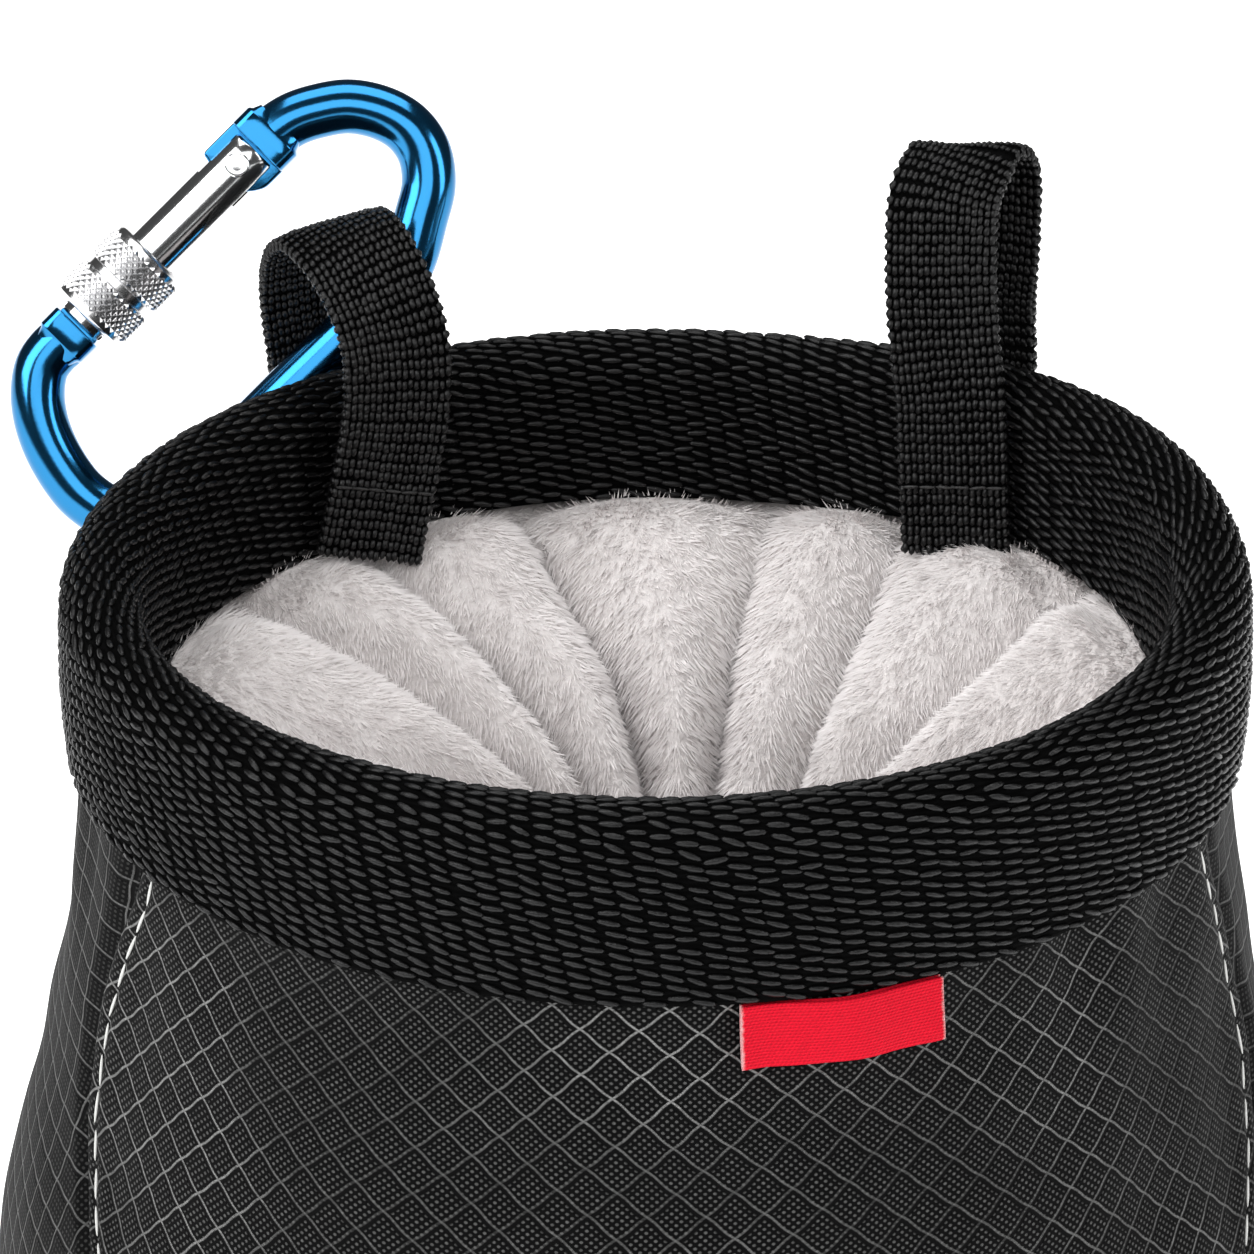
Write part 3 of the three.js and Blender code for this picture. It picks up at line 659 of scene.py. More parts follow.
@dataclass
class Skin:
    """Points and faces of a mesh under construction, in millimetres."""

    points: Array
    faces: list[Sequence[int]]
    corners: Array | None = None

    def facing_out(self) -> "Skin":
        """Turns the faces round where the skin is inside out."""
        volume = 0.0
        for face in self.faces:
            first = self.points[face[0]]
            for second, third in zip(face[1:-1], face[2:]):
                volume += float(first @ np.cross(self.points[second], self.points[third]))
        if volume >= 0:
            return self
        corners = self.corners
        if corners is not None:
            ends = np.cumsum([len(face) for face in self.faces])
            order = np.concatenate([
                np.arange(end - 1, end - len(face) - 1, -1) for face, end in zip(self.faces, ends)
            ])
            corners = corners[order]
        return Skin(self.points, [list(face)[::-1] for face in self.faces], corners)

    def placed(self, matrix: Array, shift: Array) -> "Skin":
        """Copy moved by a matrix and then a shift."""
        return Skin(self.points @ matrix.T + shift, self.faces, self.corners)

    @staticmethod
    def joined(skins: Sequence["Skin"]) -> "Skin":
        """One skin of several that have no corner values."""
        faces: list[Sequence[int]] = []
        start = 0
        for skin in skins:
            faces += [[index + start for index in face] for face in skin.faces]
            start += len(skin.points)
        return Skin(np.vstack([skin.points for skin in skins]), faces)

    def object(
        self, name: str, finish: bpy.types.Material, sharp: bool = False,
    ) -> bpy.types.Object:
        """Makes the Blender object.

        Args:
            name: The object's name.
            finish: Its material.
            sharp: True for flat faces.
        """
        mesh = bpy.data.meshes.new(name)
        mesh.from_pydata((self.points * MM).tolist(), [], [list(face) for face in self.faces])
        if self.corners is not None:
            layer = mesh.uv_layers.new(name="cloth")
            layer.data.foreach_set("uv", self.corners.astype(np.float32).ravel())
        mesh.polygons.foreach_set("use_smooth", [not sharp] * len(mesh.polygons))
        mesh.materials.append(finish)
        mesh.update()
        return linked(name, mesh)


def closed_sheet(front: Array, back: Array, cloth: Array, ring: bool = False) -> Skin:
    """Sheet between two grids of points, closed round its edges.

    Args:
        front: Rows of points on the side that shows.
        back: The same rows on the other side.
        cloth: The cloth's coordinates, with one more column than the points in a ring.
        ring: True where the last column joins the first.
    """
    rows, columns = front.shape[:2]
    spans = columns if ring else columns - 1
    row, column = cell_numbers(rows - 1, spans)
    edge, end = np.arange(spans), np.arange(rows - 1)
    first, last = np.zeros_like(edge), np.zeros_like(edge) + rows - 1
    left, right = np.zeros_like(end), np.zeros_like(end) + spans
    back_first, front_first = ((1, 0), (1, 1), (0, 1), (0, 0)), ((0, 0), (0, 1), (1, 1), (1, 0))
    quads = [
        [(0, row, column), (0, row, column + 1), (0, row + 1, column + 1), (0, row + 1, column)],
        [(1, row + 1, column), (1, row + 1, column + 1), (1, row, column + 1), (1, row, column)],
        [(side, first, edge + step) for side, step in back_first],
        [(side, last, edge + step) for side, step in front_first],
    ]
    if not ring:
        quads.append([(side, end + step, left) for side, step in front_first])
        quads.append([(side, end + step, right) for side, step in back_first])
    faces, corners = [], []
    for quad in quads:
        numbers = [(side * rows + r) * columns + c % columns for side, r, c in quad]
        faces.append(np.stack(numbers, 1))
        corners.append(np.stack([cloth[r, c] for _, r, c in quad], 1))
    points = np.vstack([front.reshape(-1, 3), back.reshape(-1, 3)])
    return Skin(points, np.vstack(faces).tolist(), np.vstack(corners).reshape(-1, 2)).facing_out()


def tube(sections: Array, ring: bool = False) -> Skin:
    """Closed skin through a row of closed outlines.

    Args:
        sections: Outlines of as many points each.
        ring: True where the last outline joins the first, otherwise both ends are closed.
    """
    count, around = sections.shape[:2]
    spans = count if ring else count - 1
    row, column = cell_numbers(spans, around)
    after, side = (row + 1) % count * around, (column + 1) % around
    quads = np.stack([row * around + column, row * around + side, after + side, after + column], 1)
    faces: list[Sequence[int]] = quads.tolist()
    points = sections.reshape(-1, 3)
    if not ring:
        middles = np.stack([sections[0].mean(0), sections[-1].mean(0)])
        points = np.vstack([points, middles])
        base, last = count * around, (count - 1) * around
        for i in range(around):
            j = (i + 1) % around
            faces.append([base, j, i])
            faces.append([base + 1, last + i, last + j])
    return Skin(points, faces).facing_out()


def turned(outline: Sequence[tuple[float, float]], sides: int) -> Skin:
    """Ring turned about the local X axis from a closed outline.

    Args:
        outline: Places along the axis and radii.
        sides: Faces around.
    """
    angles = np.arange(sides) * 2 * math.pi / sides
    along, radius = np.array(outline).T
    sections = np.stack([
        np.broadcast_to(along, (sides, len(along))),
        np.cos(angles)[:, None] * radius,
        np.sin(angles)[:, None] * radius,
    ], -1)
    return tube(sections, ring=True)


def settle(obj: bpy.types.Object, body: Body, slot: Slot, *nodes: str) -> bpy.types.Object:
    """Ties a finished piece to the frame.

    Args:
        obj: The piece.
        body: The body that it rides on.
        slot: Its material slot; not used.
        nodes: CAD nodes that it stands for.
    """
    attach(obj, body.value)
    if nodes:
        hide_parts(*nodes)
    LOG.info("%s: %d faces on %s", obj.name, len(obj.data.polygons), body.value)
    return obj


# Shapes laid out by Geometry Nodes


@dataclass
class Layout:
    """Places of many small shapes, with the way each one lies."""

    points: Array
    along: Array
    out: Array
    tone: Array

    @staticmethod
    def joined(layouts: Sequence["Layout"]) -> "Layout":
        """One layout of several."""
        return Layout(*(
            np.concatenate([getattr(layout, name) for layout in layouts])
            for name in ("points", "along", "out", "tone")
        ))

    def part(self, kept: Array) -> "Layout":
        """The places that a mask or slice keeps."""
        return Layout(self.points[kept], self.along[kept], self.out[kept], self.tone[kept])

    def cloud(self, name: str) -> bpy.types.Object:
        """Bare points that carry the directions as attributes."""
        mesh = bpy.data.meshes.new(name)
        mesh.vertices.add(len(self.points))
        mesh.vertices.foreach_set("co", (self.points * MM).astype(np.float32).ravel())
        for key in ("along", "out"):
            layer = mesh.attributes.new(key, "FLOAT_VECTOR", "POINT")
            layer.data.foreach_set("vector", getattr(self, key).astype(np.float32).ravel())
        tone = mesh.attributes.new("tone", "FLOAT", "POINT")
        tone.data.foreach_set("value", self.tone.astype(np.float32))
        return linked(name, mesh)


@dataclass(frozen=True)
class GrainLayer:
    """A tree that lays one small closed shape on every point of a cloud."""

    grain: Grain
    length: float
    width: float
    height: float
    variation: float = 0.0
    sides: int = 6
    rings: int = 4
    blunt: float = 0.0
    seed: int = 3

    def _shape(self, graph: Graph) -> bpy.types.NodeSocket:
        """The small shape: its long axis is Z, except for a stud, which stands on Z."""
        if self.grain is Grain.SPINDLE:
            values = {"Segments": self.sides, "Rings": self.rings, "Radius": 0.5}
            return graph.node("GeometryNodeMeshUVSphere", None, values).outputs[0]
        values = {
            "Vertices": self.sides, "Radius Top": self.blunt, "Radius Bottom": 0.5, "Depth": 1.0,
        }
        return graph.node("GeometryNodeMeshCone", {"fill_type": "NGON"}, values).outputs[0]

    def tree(self, name: str) -> bpy.types.NodeTree:
        """Builds the tree with named inputs for its sizes.

        Args:
            name: The tree's name.
        """
        made = bpy.data.node_groups.new(name, "GeometryNodeTree")
        made.interface.new_socket("Geometry", in_out="OUTPUT", socket_type="NodeSocketGeometry")
        for key, kind in (
            ("Geometry", "Geometry"), ("Length", "Float"), ("Width", "Float"), ("Height", "Float"),
            ("Variation", "Float"), ("Seed", "Int"), ("Finish", "Material"),
        ):
            made.interface.new_socket(key, in_out="INPUT", socket_type=f"NodeSocket{kind}")
        graph = Graph(made)
        inputs = graph.node("NodeGroupInput").outputs
        reach = graph.node(
            "ShaderNodeSeparateXYZ", None, {0: graph.node("GeometryNodeInputPosition").outputs[0]},
        ).outputs[2]
        shape = graph.node(
            "GeometryNodeStoreNamedAttribute",
            {"data_type": "FLOAT", "domain": "POINT"},
            {"Geometry": self._shape(graph), "Name": "reach", "Value": reach},
        ).outputs[0]
        if self.grain is Grain.SPINDLE:
            shape = graph.node(
                "GeometryNodeSetShadeSmooth", None, {"Geometry": shape, "Shade Smooth": True},
            ).outputs[0]
        along, out = (
            graph.node(
                "GeometryNodeInputNamedAttribute", {"data_type": "FLOAT_VECTOR"}, {"Name": key},
            ).outputs[0]
            for key in ("along", "out")
        )
        standing = self.grain is Grain.STUD
        turn = graph.node(
            "FunctionNodeAxesToRotation",
            {"primary_axis": "Z", "secondary_axis": "X"},
            {0: out if standing else along, 1: along if standing else out},
        ).outputs[0]
        chance = graph.term(
            "FunctionNodeRandomValue", {"data_type": "FLOAT"},
            {2: -1.0, 3: 1.0, "Seed": inputs["Seed"]}, 1,
        )
        scale = 1 + chance * Term(graph, inputs["Variation"])
        order = ("Length", "Width", "Height") if standing else ("Height", "Width", "Length")
        sizes = {axis: scale * Term(graph, inputs[key]) for axis, key in enumerate(order)}
        placed = graph.node("GeometryNodeInstanceOnPoints", None, {
            "Points": inputs["Geometry"],
            "Instance": shape,
            "Rotation": turn,
            "Scale": graph.node("ShaderNodeCombineXYZ", None, sizes).outputs[0],
        }).outputs[0]
        real = graph.node("GeometryNodeRealizeInstances", None, {0: placed}).outputs[0]
        dressed = graph.node(
            "GeometryNodeSetMaterial", None, {"Geometry": real, "Material": inputs["Finish"]},
        ).outputs[0]
        graph.node("NodeGroupOutput", None, {0: dressed})
        return made

    def lay(self, layout: Layout, name: str, finish: bpy.types.Material) -> bpy.types.Object:
        """Lays the shape out and turns the result into a plain mesh.

        Args:
            layout: Places and directions.
            name: The finished object's name.
            finish: Its material.
        """
        cloud = layout.cloud(f"{name}_points")
        modifier = cloud.modifiers.new("layout", "NODES")
        tree = self.tree(f"{name}_layout")
        modifier.node_group = tree
        values = {
            "Length": self.length * MM, "Width": self.width * MM, "Height": self.height * MM,
            "Variation": self.variation, "Seed": self.seed, "Finish": finish,
        }
        for socket in tree.interface.items_tree:
            if socket.in_out == "INPUT" and socket.name in values:
                modifier[socket.identifier] = values[socket.name]
        graph = bpy.context.evaluated_depsgraph_get()
        mesh = bpy.data.meshes.new_from_object(
            cloud.evaluated_get(graph), preserve_all_data_layers=True, depsgraph=graph,
        )
        mesh.name = name
        cloud.modifiers.remove(modifier)
        bpy.data.objects.remove(cloud)
        return linked(name, mesh)


# Studio


@dataclass(frozen=True)
class Softbox:
    """A rectangular light aimed at the bag."""

    name: str
    place: tuple[float, float, float]
    width: float
    height: float
    power: float
    colour: Colour = (1.0, 1.0, 1.0)

    def build(self, aim: Vector) -> None:
        """Makes the light.

        Args:
            aim: The point that it faces, in metres.
        """
        data = bpy.data.lights.new(self.name, "AREA")
        data.shape = "RECTANGLE"
        data.size, data.size_y = self.width, self.height
        data.energy = self.power
        data.color = self.colour
        lamp = linked(self.name, data)
        lamp.location = self.place
        lamp.rotation_mode = "QUATERNION"
        lamp.rotation_quaternion = (aim - lamp.location).to_track_quat("-Z", "Y")


@dataclass(frozen=True)
class Studio:
    """Camera, lights and floor."""

    elevation: float = 24.85
    distance: float = 700.0
    target_height: float = 165.0
    focal_pixels: float = 6949.0
    centre: tuple[float, float] = (655.5, 548.9)
    picture: float = 1254.0
    sensor: float = 36.0
    ambient: float = 0.07
    floor_glow: float = 0.8
    floor_size: float = 6.0
    floor_lines: int = 9
    floor_depth: float = 10.0
    aim_share: float = 0.8
    clip: tuple[float, float] = (0.05, 20.0)
    boxes: tuple[Softbox, ...] = (
        Softbox("key_left", (-1.1, -0.5, 1.0), 0.9, 1.0, 14.0),
        Softbox("fill_right", (1.1, -0.45, 0.7), 0.5, 0.9, 5.0),
        Softbox("overhead", (0.0, 0.35, 1.45), 1.4, 1.0, 12.0),
        Softbox("front_top", (-0.1, -1.0, 0.95), 1.1, 0.7, 6.0),
    )

    def camera(self) -> None:
        """Makes the camera at the photograph's place."""
        data = bpy.data.cameras.new("camera")
        data.sensor_width = self.sensor
        data.lens = self.focal_pixels / self.picture * self.sensor
        data.shift_x = (self.picture / 2 - self.centre[0]) / self.picture
        data.shift_y = (self.centre[1] - self.picture / 2) / self.picture
        data.clip_start, data.clip_end = self.clip
        lens = linked("camera", data)
        angle = math.radians(self.elevation)
        lens.location = (
            0.0,
            -self.distance * math.cos(angle) * MM,
            (self.target_height + self.distance * math.sin(angle)) * MM,
        )
        lens.rotation_euler = (math.pi / 2 - angle, 0.0, 0.0)
        bpy.context.scene.camera = lens

    def build(self) -> None:
        """Makes the lights, the world and the floor."""
        aim = Vector((0.0, 0.0, self.target_height * MM * self.aim_share))
        for box in self.boxes:
            box.build(aim)
        world = bpy.data.worlds.new("studio")
        world.use_nodes = True
        world.node_tree.nodes["Background"].inputs[0].default_value = with_alpha((1.0, 1.0, 1.0))
        world.node_tree.nodes["Background"].inputs[1].default_value = self.ambient
        scene = bpy.context.scene
        scene.world = world
        scene.view_settings.view_transform = "Standard"
        scene.view_settings.look = "None"
        half = self.floor_size / 2 / MM
        steps = np.linspace(-half, half, self.floor_lines)
        level = np.zeros((self.floor_lines, self.floor_lines))
        grid = np.stack([*np.meshgrid(steps, steps, indexing="xy"), level], -1)
        below = grid - [0, 0, self.floor_depth]
        skin = closed_sheet(grid, below, grid[..., :2])
        floor = skin.object("floor", FloorFinish("white_floor", self.floor_glow).material(), True)


# Rim


@dataclass(frozen=True)
class RimShape:
    """Sizes and places of the rim, as the frame has them."""

    crest_height: float = 165.0
    crest_radius: float = 56.0
    pad_radius: float = 4.2
    pad_drop: float = 8.5
    outer_drop: float = 20.0
    inner_drop: float = 17.5
    inner_lean: float = 1.2
    webbing: float = 1.5
    bulge: float = 0.35
    pad_room: float = 2.7
    rise: float = 2.5
    rise_azimuth: float = 60.0
    rise_spread: float = 52.0

    def lift(self, azimuth: Array) -> Array:
        """How far the rim stands up at an azimuth in radians from the back, to the right."""
        away = np.abs(azimuth - math.radians(self.rise_azimuth)) % FULL_TURN
        away = np.minimum(away, FULL_TURN - away)
        share = np.minimum(away / math.radians(self.rise_spread), 1.0)
        return self.rise / 2 * (1 + np.cos(math.pi * share))

    def band(self, inset: float) -> Array:
        """Radii and heights of the band from its outer edge over the crest to its inner edge.

        Args:
            inset: Distance inwards from the frame's own outline.
        """
        pad = self.pad_radius - inset
        centre = self.crest_height - self.pad_radius
        rise = np.linspace(0, 1, 60)[:, None]
        foot = self.crest_radius + pad - self.bulge
        low = np.array([[foot, self.crest_height - self.outer_drop]])
        waist = np.array([[self.crest_radius + pad, centre]])
        angle = np.linspace(0, math.pi, 90)[:, None]
        crest = np.hstack([self.crest_radius + pad * np.cos(angle), centre + pad * np.sin(angle)])
        inner = np.array([[self.crest_radius - pad, centre]])
        end = np.array([[
            self.crest_radius - pad - self.inner_lean, self.crest_height - self.inner_drop,
        ]])
        belly = self.bulge * np.sin(math.pi * rise)
        return np.vstack([
            lerp(low, waist, rise)[:-1] + np.hstack([belly, 0 * belly])[:-1],
            crest,
            lerp(inner, end, rise)[1:] + np.hstack([0.5 * belly, 0 * belly])[1:],
        ])


@dataclass
class Rim:
    """Webbing folded over the padded hoop, with its yarn floats."""

    shape: RimShape = field(default_factory=RimShape)
    relief: float = 0.4
    row_pitch: float = 1.17
    around: int = 168
    drift: float = 0.12
    zigzag: float = 0.28
    tilt: float = 9.0
    float_size: tuple[float, float, float] = (2.5, 0.68, 0.7)
    sides: int = 180
    rows: int = 60
    seed: int = 17

    def _turned(self, outline: Array, azimuths: Array) -> Array:
        """Points of an outline turned round the bag, one row of points for each of its places."""
        radius, level = outline[:, 0][:, None], outline[:, 1][:, None]
        return np.stack([
            radius * np.sin(azimuths),
            radius * np.cos(azimuths),
            level + self.shape.lift(azimuths),
        ], -1)

    def ground(self) -> bpy.types.Object:
        """The band itself, closed along its hollow underside."""
        shape = self.shape
        top = evenly(shape.band(self.relief), self.rows)
        wall = shape.webbing - self.relief
        ways = unit(np.gradient(top, axis=0))
        inside = top + wall * np.stack([-ways[:, 1], ways[:, 0]], 1)
        floor_level = shape.crest_height - shape.pad_drop
        under = inside.copy()
        share = smooth(top[:, 1], floor_level - 1.5, floor_level + 0.5)
        under[:, 1] = np.where(top[:, 1] > floor_level, floor_level, under[:, 1])
        low, high = shape.crest_radius - shape.pad_room, shape.crest_radius + shape.pad_room
        under[:, 0] = np.where(share > 0, np.clip(under[:, 0], low, high), under[:, 0])
        azimuths = circle(self.sides)
        run = lengths(top)
        turns = np.linspace(0, FULL_TURN, self.sides + 1) * shape.crest_radius
        cloth = cloth_grid(turns, run)
        skin = closed_sheet(self._turned(top, azimuths), self._turned(under, azimuths), cloth, True)
        return skin.object("rim_band", GroundFinish("webbing_ground").material())

    def floats(self) -> Layout:
        """Places of the yarn floats, row by row."""
        outline = self.shape.band(self.relief)
        run = lengths(outline)
        rows = int(run[-1] / self.row_pitch)
        edge = (run[-1] - (rows - 1) * self.row_pitch) / 2
        dice = np.random.default_rng(self.seed)
        made = []
        step = 0.2
        for row in range(rows):
            shift = (self.drift * row) % 2.0 + dice.normal(0, 0.05, self.around)
            turn = (np.arange(self.around) + shift) * 2 * math.pi / self.around
            side = self.zigzag * np.where(np.arange(self.around) % 2, 1.0, -1.0)
            side = side + dice.normal(0, 0.05, self.around)
            place = edge + row * self.row_pitch + side
            radius = np.interp(place, run, outline[:, 0])
            level = np.interp(place, run, outline[:, 1])
            ahead, climb = (
                np.interp(place + step, run, values) - np.interp(place - step, run, values)
                for values in outline.T
            )
            slope = np.hypot(ahead, climb)
            sine, cosine = np.sin(turn), np.cos(turn)
            points = np.stack([radius * sine, radius * cosine, level + self.shape.lift(turn)], 1)
            down = np.stack([ahead / slope * sine, ahead / slope * cosine, climb / slope], 1)
            out = np.stack([climb / slope * sine, climb / slope * cosine, -ahead / slope], 1)
            round_way = np.stack([cosine, -sine, np.zeros_like(sine)], 1)
            tilt = np.radians(self.tilt + dice.normal(0, 6.0, self.around))[:, None]
            dive = dice.normal(0.06, 0.05, self.around)[:, None]
            along = unit(np.cos(tilt) * round_way + np.sin(tilt) * down - dive * out)
            tone = dice.uniform(0, 1, self.around)
            made.append(Layout(points + 0.05 * out, along, out, tone))
        return Layout.joined(made)

    def build(self) -> None:
        """Makes the band and both halves of its floats."""
        band = settle(self.ground(), Body.BAG, Slot.WEBBING, "rim_binding")
        yarn = YarnFinish("black_yarn", roughness=0.34, shine=0.34).material()
        length, width, height = self.float_size
        layer = GrainLayer(Grain.SPINDLE, length, width, height, variation=0.1)
        places = self.floats()
        half = len(places.points) // 2
        parts = {"rim_yarns_outer": slice(0, half), "rim_yarns_inner": slice(half, None)}
        for name, kept in parts.items():
            settle(layer.lay(places.part(kept), name, yarn), Body.BAG, Slot.WEBBING)


# Webbing loops


@dataclass(frozen=True)
class LoopRow:
    """One place of a loop: azimuth and turn and tip in degrees, the rest in shares."""

    azimuth: float
    out: float
    up: float
    down: float
    turn: float
    tip: float


RIGHT_ROWS = (
    LoopRow(43.6, -1.86, 0, 0.78, 14, 0),
    LoopRow(42.5, -1.77, 0, 0.42, 14, 0),
    LoopRow(40.7, -1.58, 0, 0, 13, 0),
    LoopRow(38.3, -1.36, 0.32, 0, 8, 0),
    LoopRow(36.9, -1.17, 0.64, 0, 6, 0),
    LoopRow(36.2, -0.88, 0.88, 0, 6, 3),
    LoopRow(35.6, 0.06, 1, 0, 5, 4),
    LoopRow(35.2, 0.85, 0.88, 0, 8, 3),
    LoopRow(34.8, 1.1, 0.56, 0, 14, 0),
    LoopRow(34.5, 1.16, 0.24, 0, 24, 0),
    LoopRow(35.4, 1.06, 0, 0, 33, 0),
    LoopRow(36, 1.02, 0, 0.4, 36, 0),
    LoopRow(36, 1.02, 0, 1, 36, 0),
)
LEFT_ROWS = (
    LoopRow(40.7, -1.77, 0, 0.845, 19, 0),
    LoopRow(38.6, -1.82, 0, 0.5, 19, 0),
    LoopRow(36.3, -1.85, 0, 0.05, 19, 0),
    LoopRow(35.5, -1.67, 0.38, 0, 19, 4),
    LoopRow(35.9, -1.23, 0.72, 0, 18, 10),
    LoopRow(36.2, -0.39, 0.97, 0, 14, 14),
    LoopRow(35.7, 0.51, 1, 0, 12, 14),
    LoopRow(34.8, 1.4, 0.8, 0, 14, 10),
    LoopRow(33.4, 2.15, 0.38, 0, 20, 4),
    LoopRow(32.4, 2.32, 0, 0.15, 24, 0),
    LoopRow(32.4, 2.15, 0, 0.45, 26, 0),
    LoopRow(33.4, 1.5, 0, 0.75, 30, 0),
    LoopRow(34.4, 1.06, 0, 1, 34.4, 0),
)


@dataclass
class Loop:
    """A loop of woven webbing that stands on the rim."""

    name: str
    rows: tuple[LoopRow, ...]
    rise: float
    sign: int
    rim: RimShape = field(default_factory=RimShape)
    width: float = 12.0
    thickness: float = 1.5
    gap: float = 0.3
    ground: float = 0.95
    pitch: float = 1.1
    across: int = 17
    stagger: float = 0.07
    cup: float = 0.7
    tack_up: float = 6.3
    tack_stitches: int = 6
    steps: int = 120
    fine_steps: int = 1200
    yarn_size: tuple[float, float, float] = (1.3, 0.76, 0.62)
    tack_size: tuple[float, float, float] = (1.9, 0.4, 0.3)
    seed: int = 29
    tack_seed: int = 61

    def _frames(self, shares: Array) -> tuple[Array, Array, Array, Array]:
        """Middles, tangents, widths and thicknesses of the webbing at shares of its rows."""
        reach = self.rim.pad_radius + self.gap + self.thickness / 2
        radii = np.array([self.rim.crest_radius + row.out * reach for row in self.rows])
        azimuths = np.radians([row.azimuth for row in self.rows])
        levels = [
            self.rim.crest_height + row.up * self.rise - row.down * self.rim.outer_drop
            for row in self.rows
        ]
        aside = self.sign * radii * np.sin(azimuths)
        knots = np.stack([aside, radii * np.cos(azimuths), levels], 1)
        middles = centripetal(knots, shares)
        step = 1e-3
        tangents = unit(centripetal(knots, shares + step) - centripetal(knots, shares - step))
        place = shares * (len(self.rows) - 1)
        numbers = np.arange(len(self.rows))
        turn = np.radians(np.interp(place, numbers, [row.turn for row in self.rows]))
        tip = np.radians(np.interp(place, numbers, [row.tip for row in self.rows]))
        wide = np.stack([
            np.cos(turn) * np.cos(tip), -self.sign * np.sin(turn) * np.cos(tip), np.sin(tip),
        ], 1)
        wide = unit(wide - (wide * tangents).sum(1, keepdims=True) * tangents)
        return middles, tangents, wide, np.cross(tangents, wide)

    def _shares(self, count: int) -> Array:
        """Shares at even distances along the webbing."""
        fine = np.linspace(0, 1, self.fine_steps)
        run = lengths(self._frames(fine)[0])
        return np.interp(np.linspace(0, run[-1], count), run, fine)

    def length(self) -> float:
        """Length of the webbing's middle line."""
        return float(lengths(self._frames(np.linspace(0, 1, self.fine_steps))[0])[-1])

    def _cupped(self, frames: tuple[Array, ...], across: Array | float) -> Array:
        """Points across the webbing, whose edges bend inwards where it turns over the top.

        Args:
            frames: Middles, tangents, widths and thicknesses.
            across: Distances from the middle.
        """
        middles, _, wide, thick = frames
        heart = middles.mean(0)
        inward = -np.sign(((middles - heart) * thick).sum(1))
        level = self.rim.crest_height
        share = smooth(middles[:, 2], level + 0.3 * self.rise, level + 0.9 * self.rise)
        bend = self.cup * (inward * share)[:, None] * (np.abs(across) / (self.width / 2)) ** 3
        return middles + across * wide + bend * thick

    def _ribbon(self) -> Skin:
        """The flat ground of the webbing with rounded edges."""
        frames = self._frames(self._shares(self.steps))
        thick = frames[3]
        half, deep = self.width / 2 - 0.3, self.ground / 2
        across = np.array([-1.0, -0.97, -0.9, -0.6, -0.2, 0.2, 0.6, 0.9, 0.97, 1.0]) * half
        height = deep * np.array([0.25, 0.7, 1, 1, 1, 1, 1, 1, 0.7, 0.25])
        run = np.linspace(0, self.length(), self.steps)
        middle = np.stack([self._cupped(frames, place) for place in across], 1)
        grids = [middle + side * height[None, :, None] * thick[:, None] for side in (1, -1)]
        cloth = cloth_grid(across, run)
        return closed_sheet(*grids, cloth)

    def _yarns(self) -> Layout:
        """Places of the warp floats on both faces and of the turns along the edges."""
        rows = int(self.length() / self.pitch)
        frames = self._frames(self._shares(rows))
        _, tangents, wide, thick = frames
        gap = (self.width - 0.4) / self.across
        dice = np.random.default_rng(self.seed + self.sign)
        sway = dice.normal(0, 0.05, rows)
        made = []
        for side in (1, -1):
            for column in range(self.across):
                across = (column + 0.5 - self.across / 2) * gap
                shift = self.stagger * self.pitch * (1 if column % 2 else -1) * side
                shift = shift + 0.09 * np.sin(across * 0.7 + np.arange(rows) * 0.45) + sway
                jitter = dice.normal(0, 0.035, (rows, 2))
                points = self._cupped(frames, across) + (shift + jitter[:, 0])[:, None] * tangents
                points = points + side * (self.ground / 2 - 0.02) * thick + jitter[:, 1:] * wide
                lean = dice.normal(0.12, 0.09, (rows, 1))
                along = unit(tangents + lean * wide - side * 0.22 * thick)
                made.append(Layout(points, along, side * thick, dice.uniform(0, 1, rows)))
        for edge in (1, -1):
            points = self._cupped(frames, edge * (self.width / 2 - 0.3))
            made.append(Layout(points, thick, edge * wide, dice.uniform(0, 1, rows)))
        return Layout.joined(made)

    def _tack(self) -> Layout:
        """Places of the row of stitches that holds the inner leg to the rim."""
        frames = self._frames(self._shares(int(self.length() / self.tack_up)))
        middle, _, wide, thick = (values[1] for values in frames)
        places = (np.arange(self.tack_stitches) + 0.5) / self.tack_stitches - 0.5
        across = places[:, None] * (self.width - 1.0)
        inwards = -np.sign(middle[:2] @ thick[:2]) * thick
        dice = np.random.default_rng(self.tack_seed)
        points = middle + across * wide + (self.thickness / 2 + 0.1) * inwards
        along = unit(wide + dice.normal(0, 0.06, points.shape))
        return Layout(points, along, np.broadcast_to(inwards, points.shape), np.zeros(len(points)))

    def build(self) -> None:
        """Makes the loop's ground, its yarns and its row of stitches."""
        thread = YarnFinish(f"{self.name}_thread", (0.012, 0.012, 0.012), 0.3, 0.35, 0.1, 0.5)
        tack = GrainLayer(Grain.SPINDLE, *self.tack_size, sides=8, rings=6)
        tacked = tack.lay(self._tack(), f"{self.name}_tack", thread.material())
        settle(tacked, Body.BAG, Slot.WEBBING)
        finish = GroundFinish(f"{self.name}_ground").material()
        ground = self._ribbon().object(f"{self.name}_webbing", finish)
        settle(ground, Body.BAG, Slot.WEBBING, self.name)
        layer = GrainLayer(Grain.SPINDLE, *self.yarn_size, variation=0.12, rings=3, seed=5)
        yarn = YarnFinish(f"{self.name}_yarn", roughness=0.34, fibre=0.14, shine=0.4).material()
        settle(layer.lay(self._yarns(), f"{self.name}_yarns", yarn), Body.BAG, Slot.WEBBING)


# Fleece collar


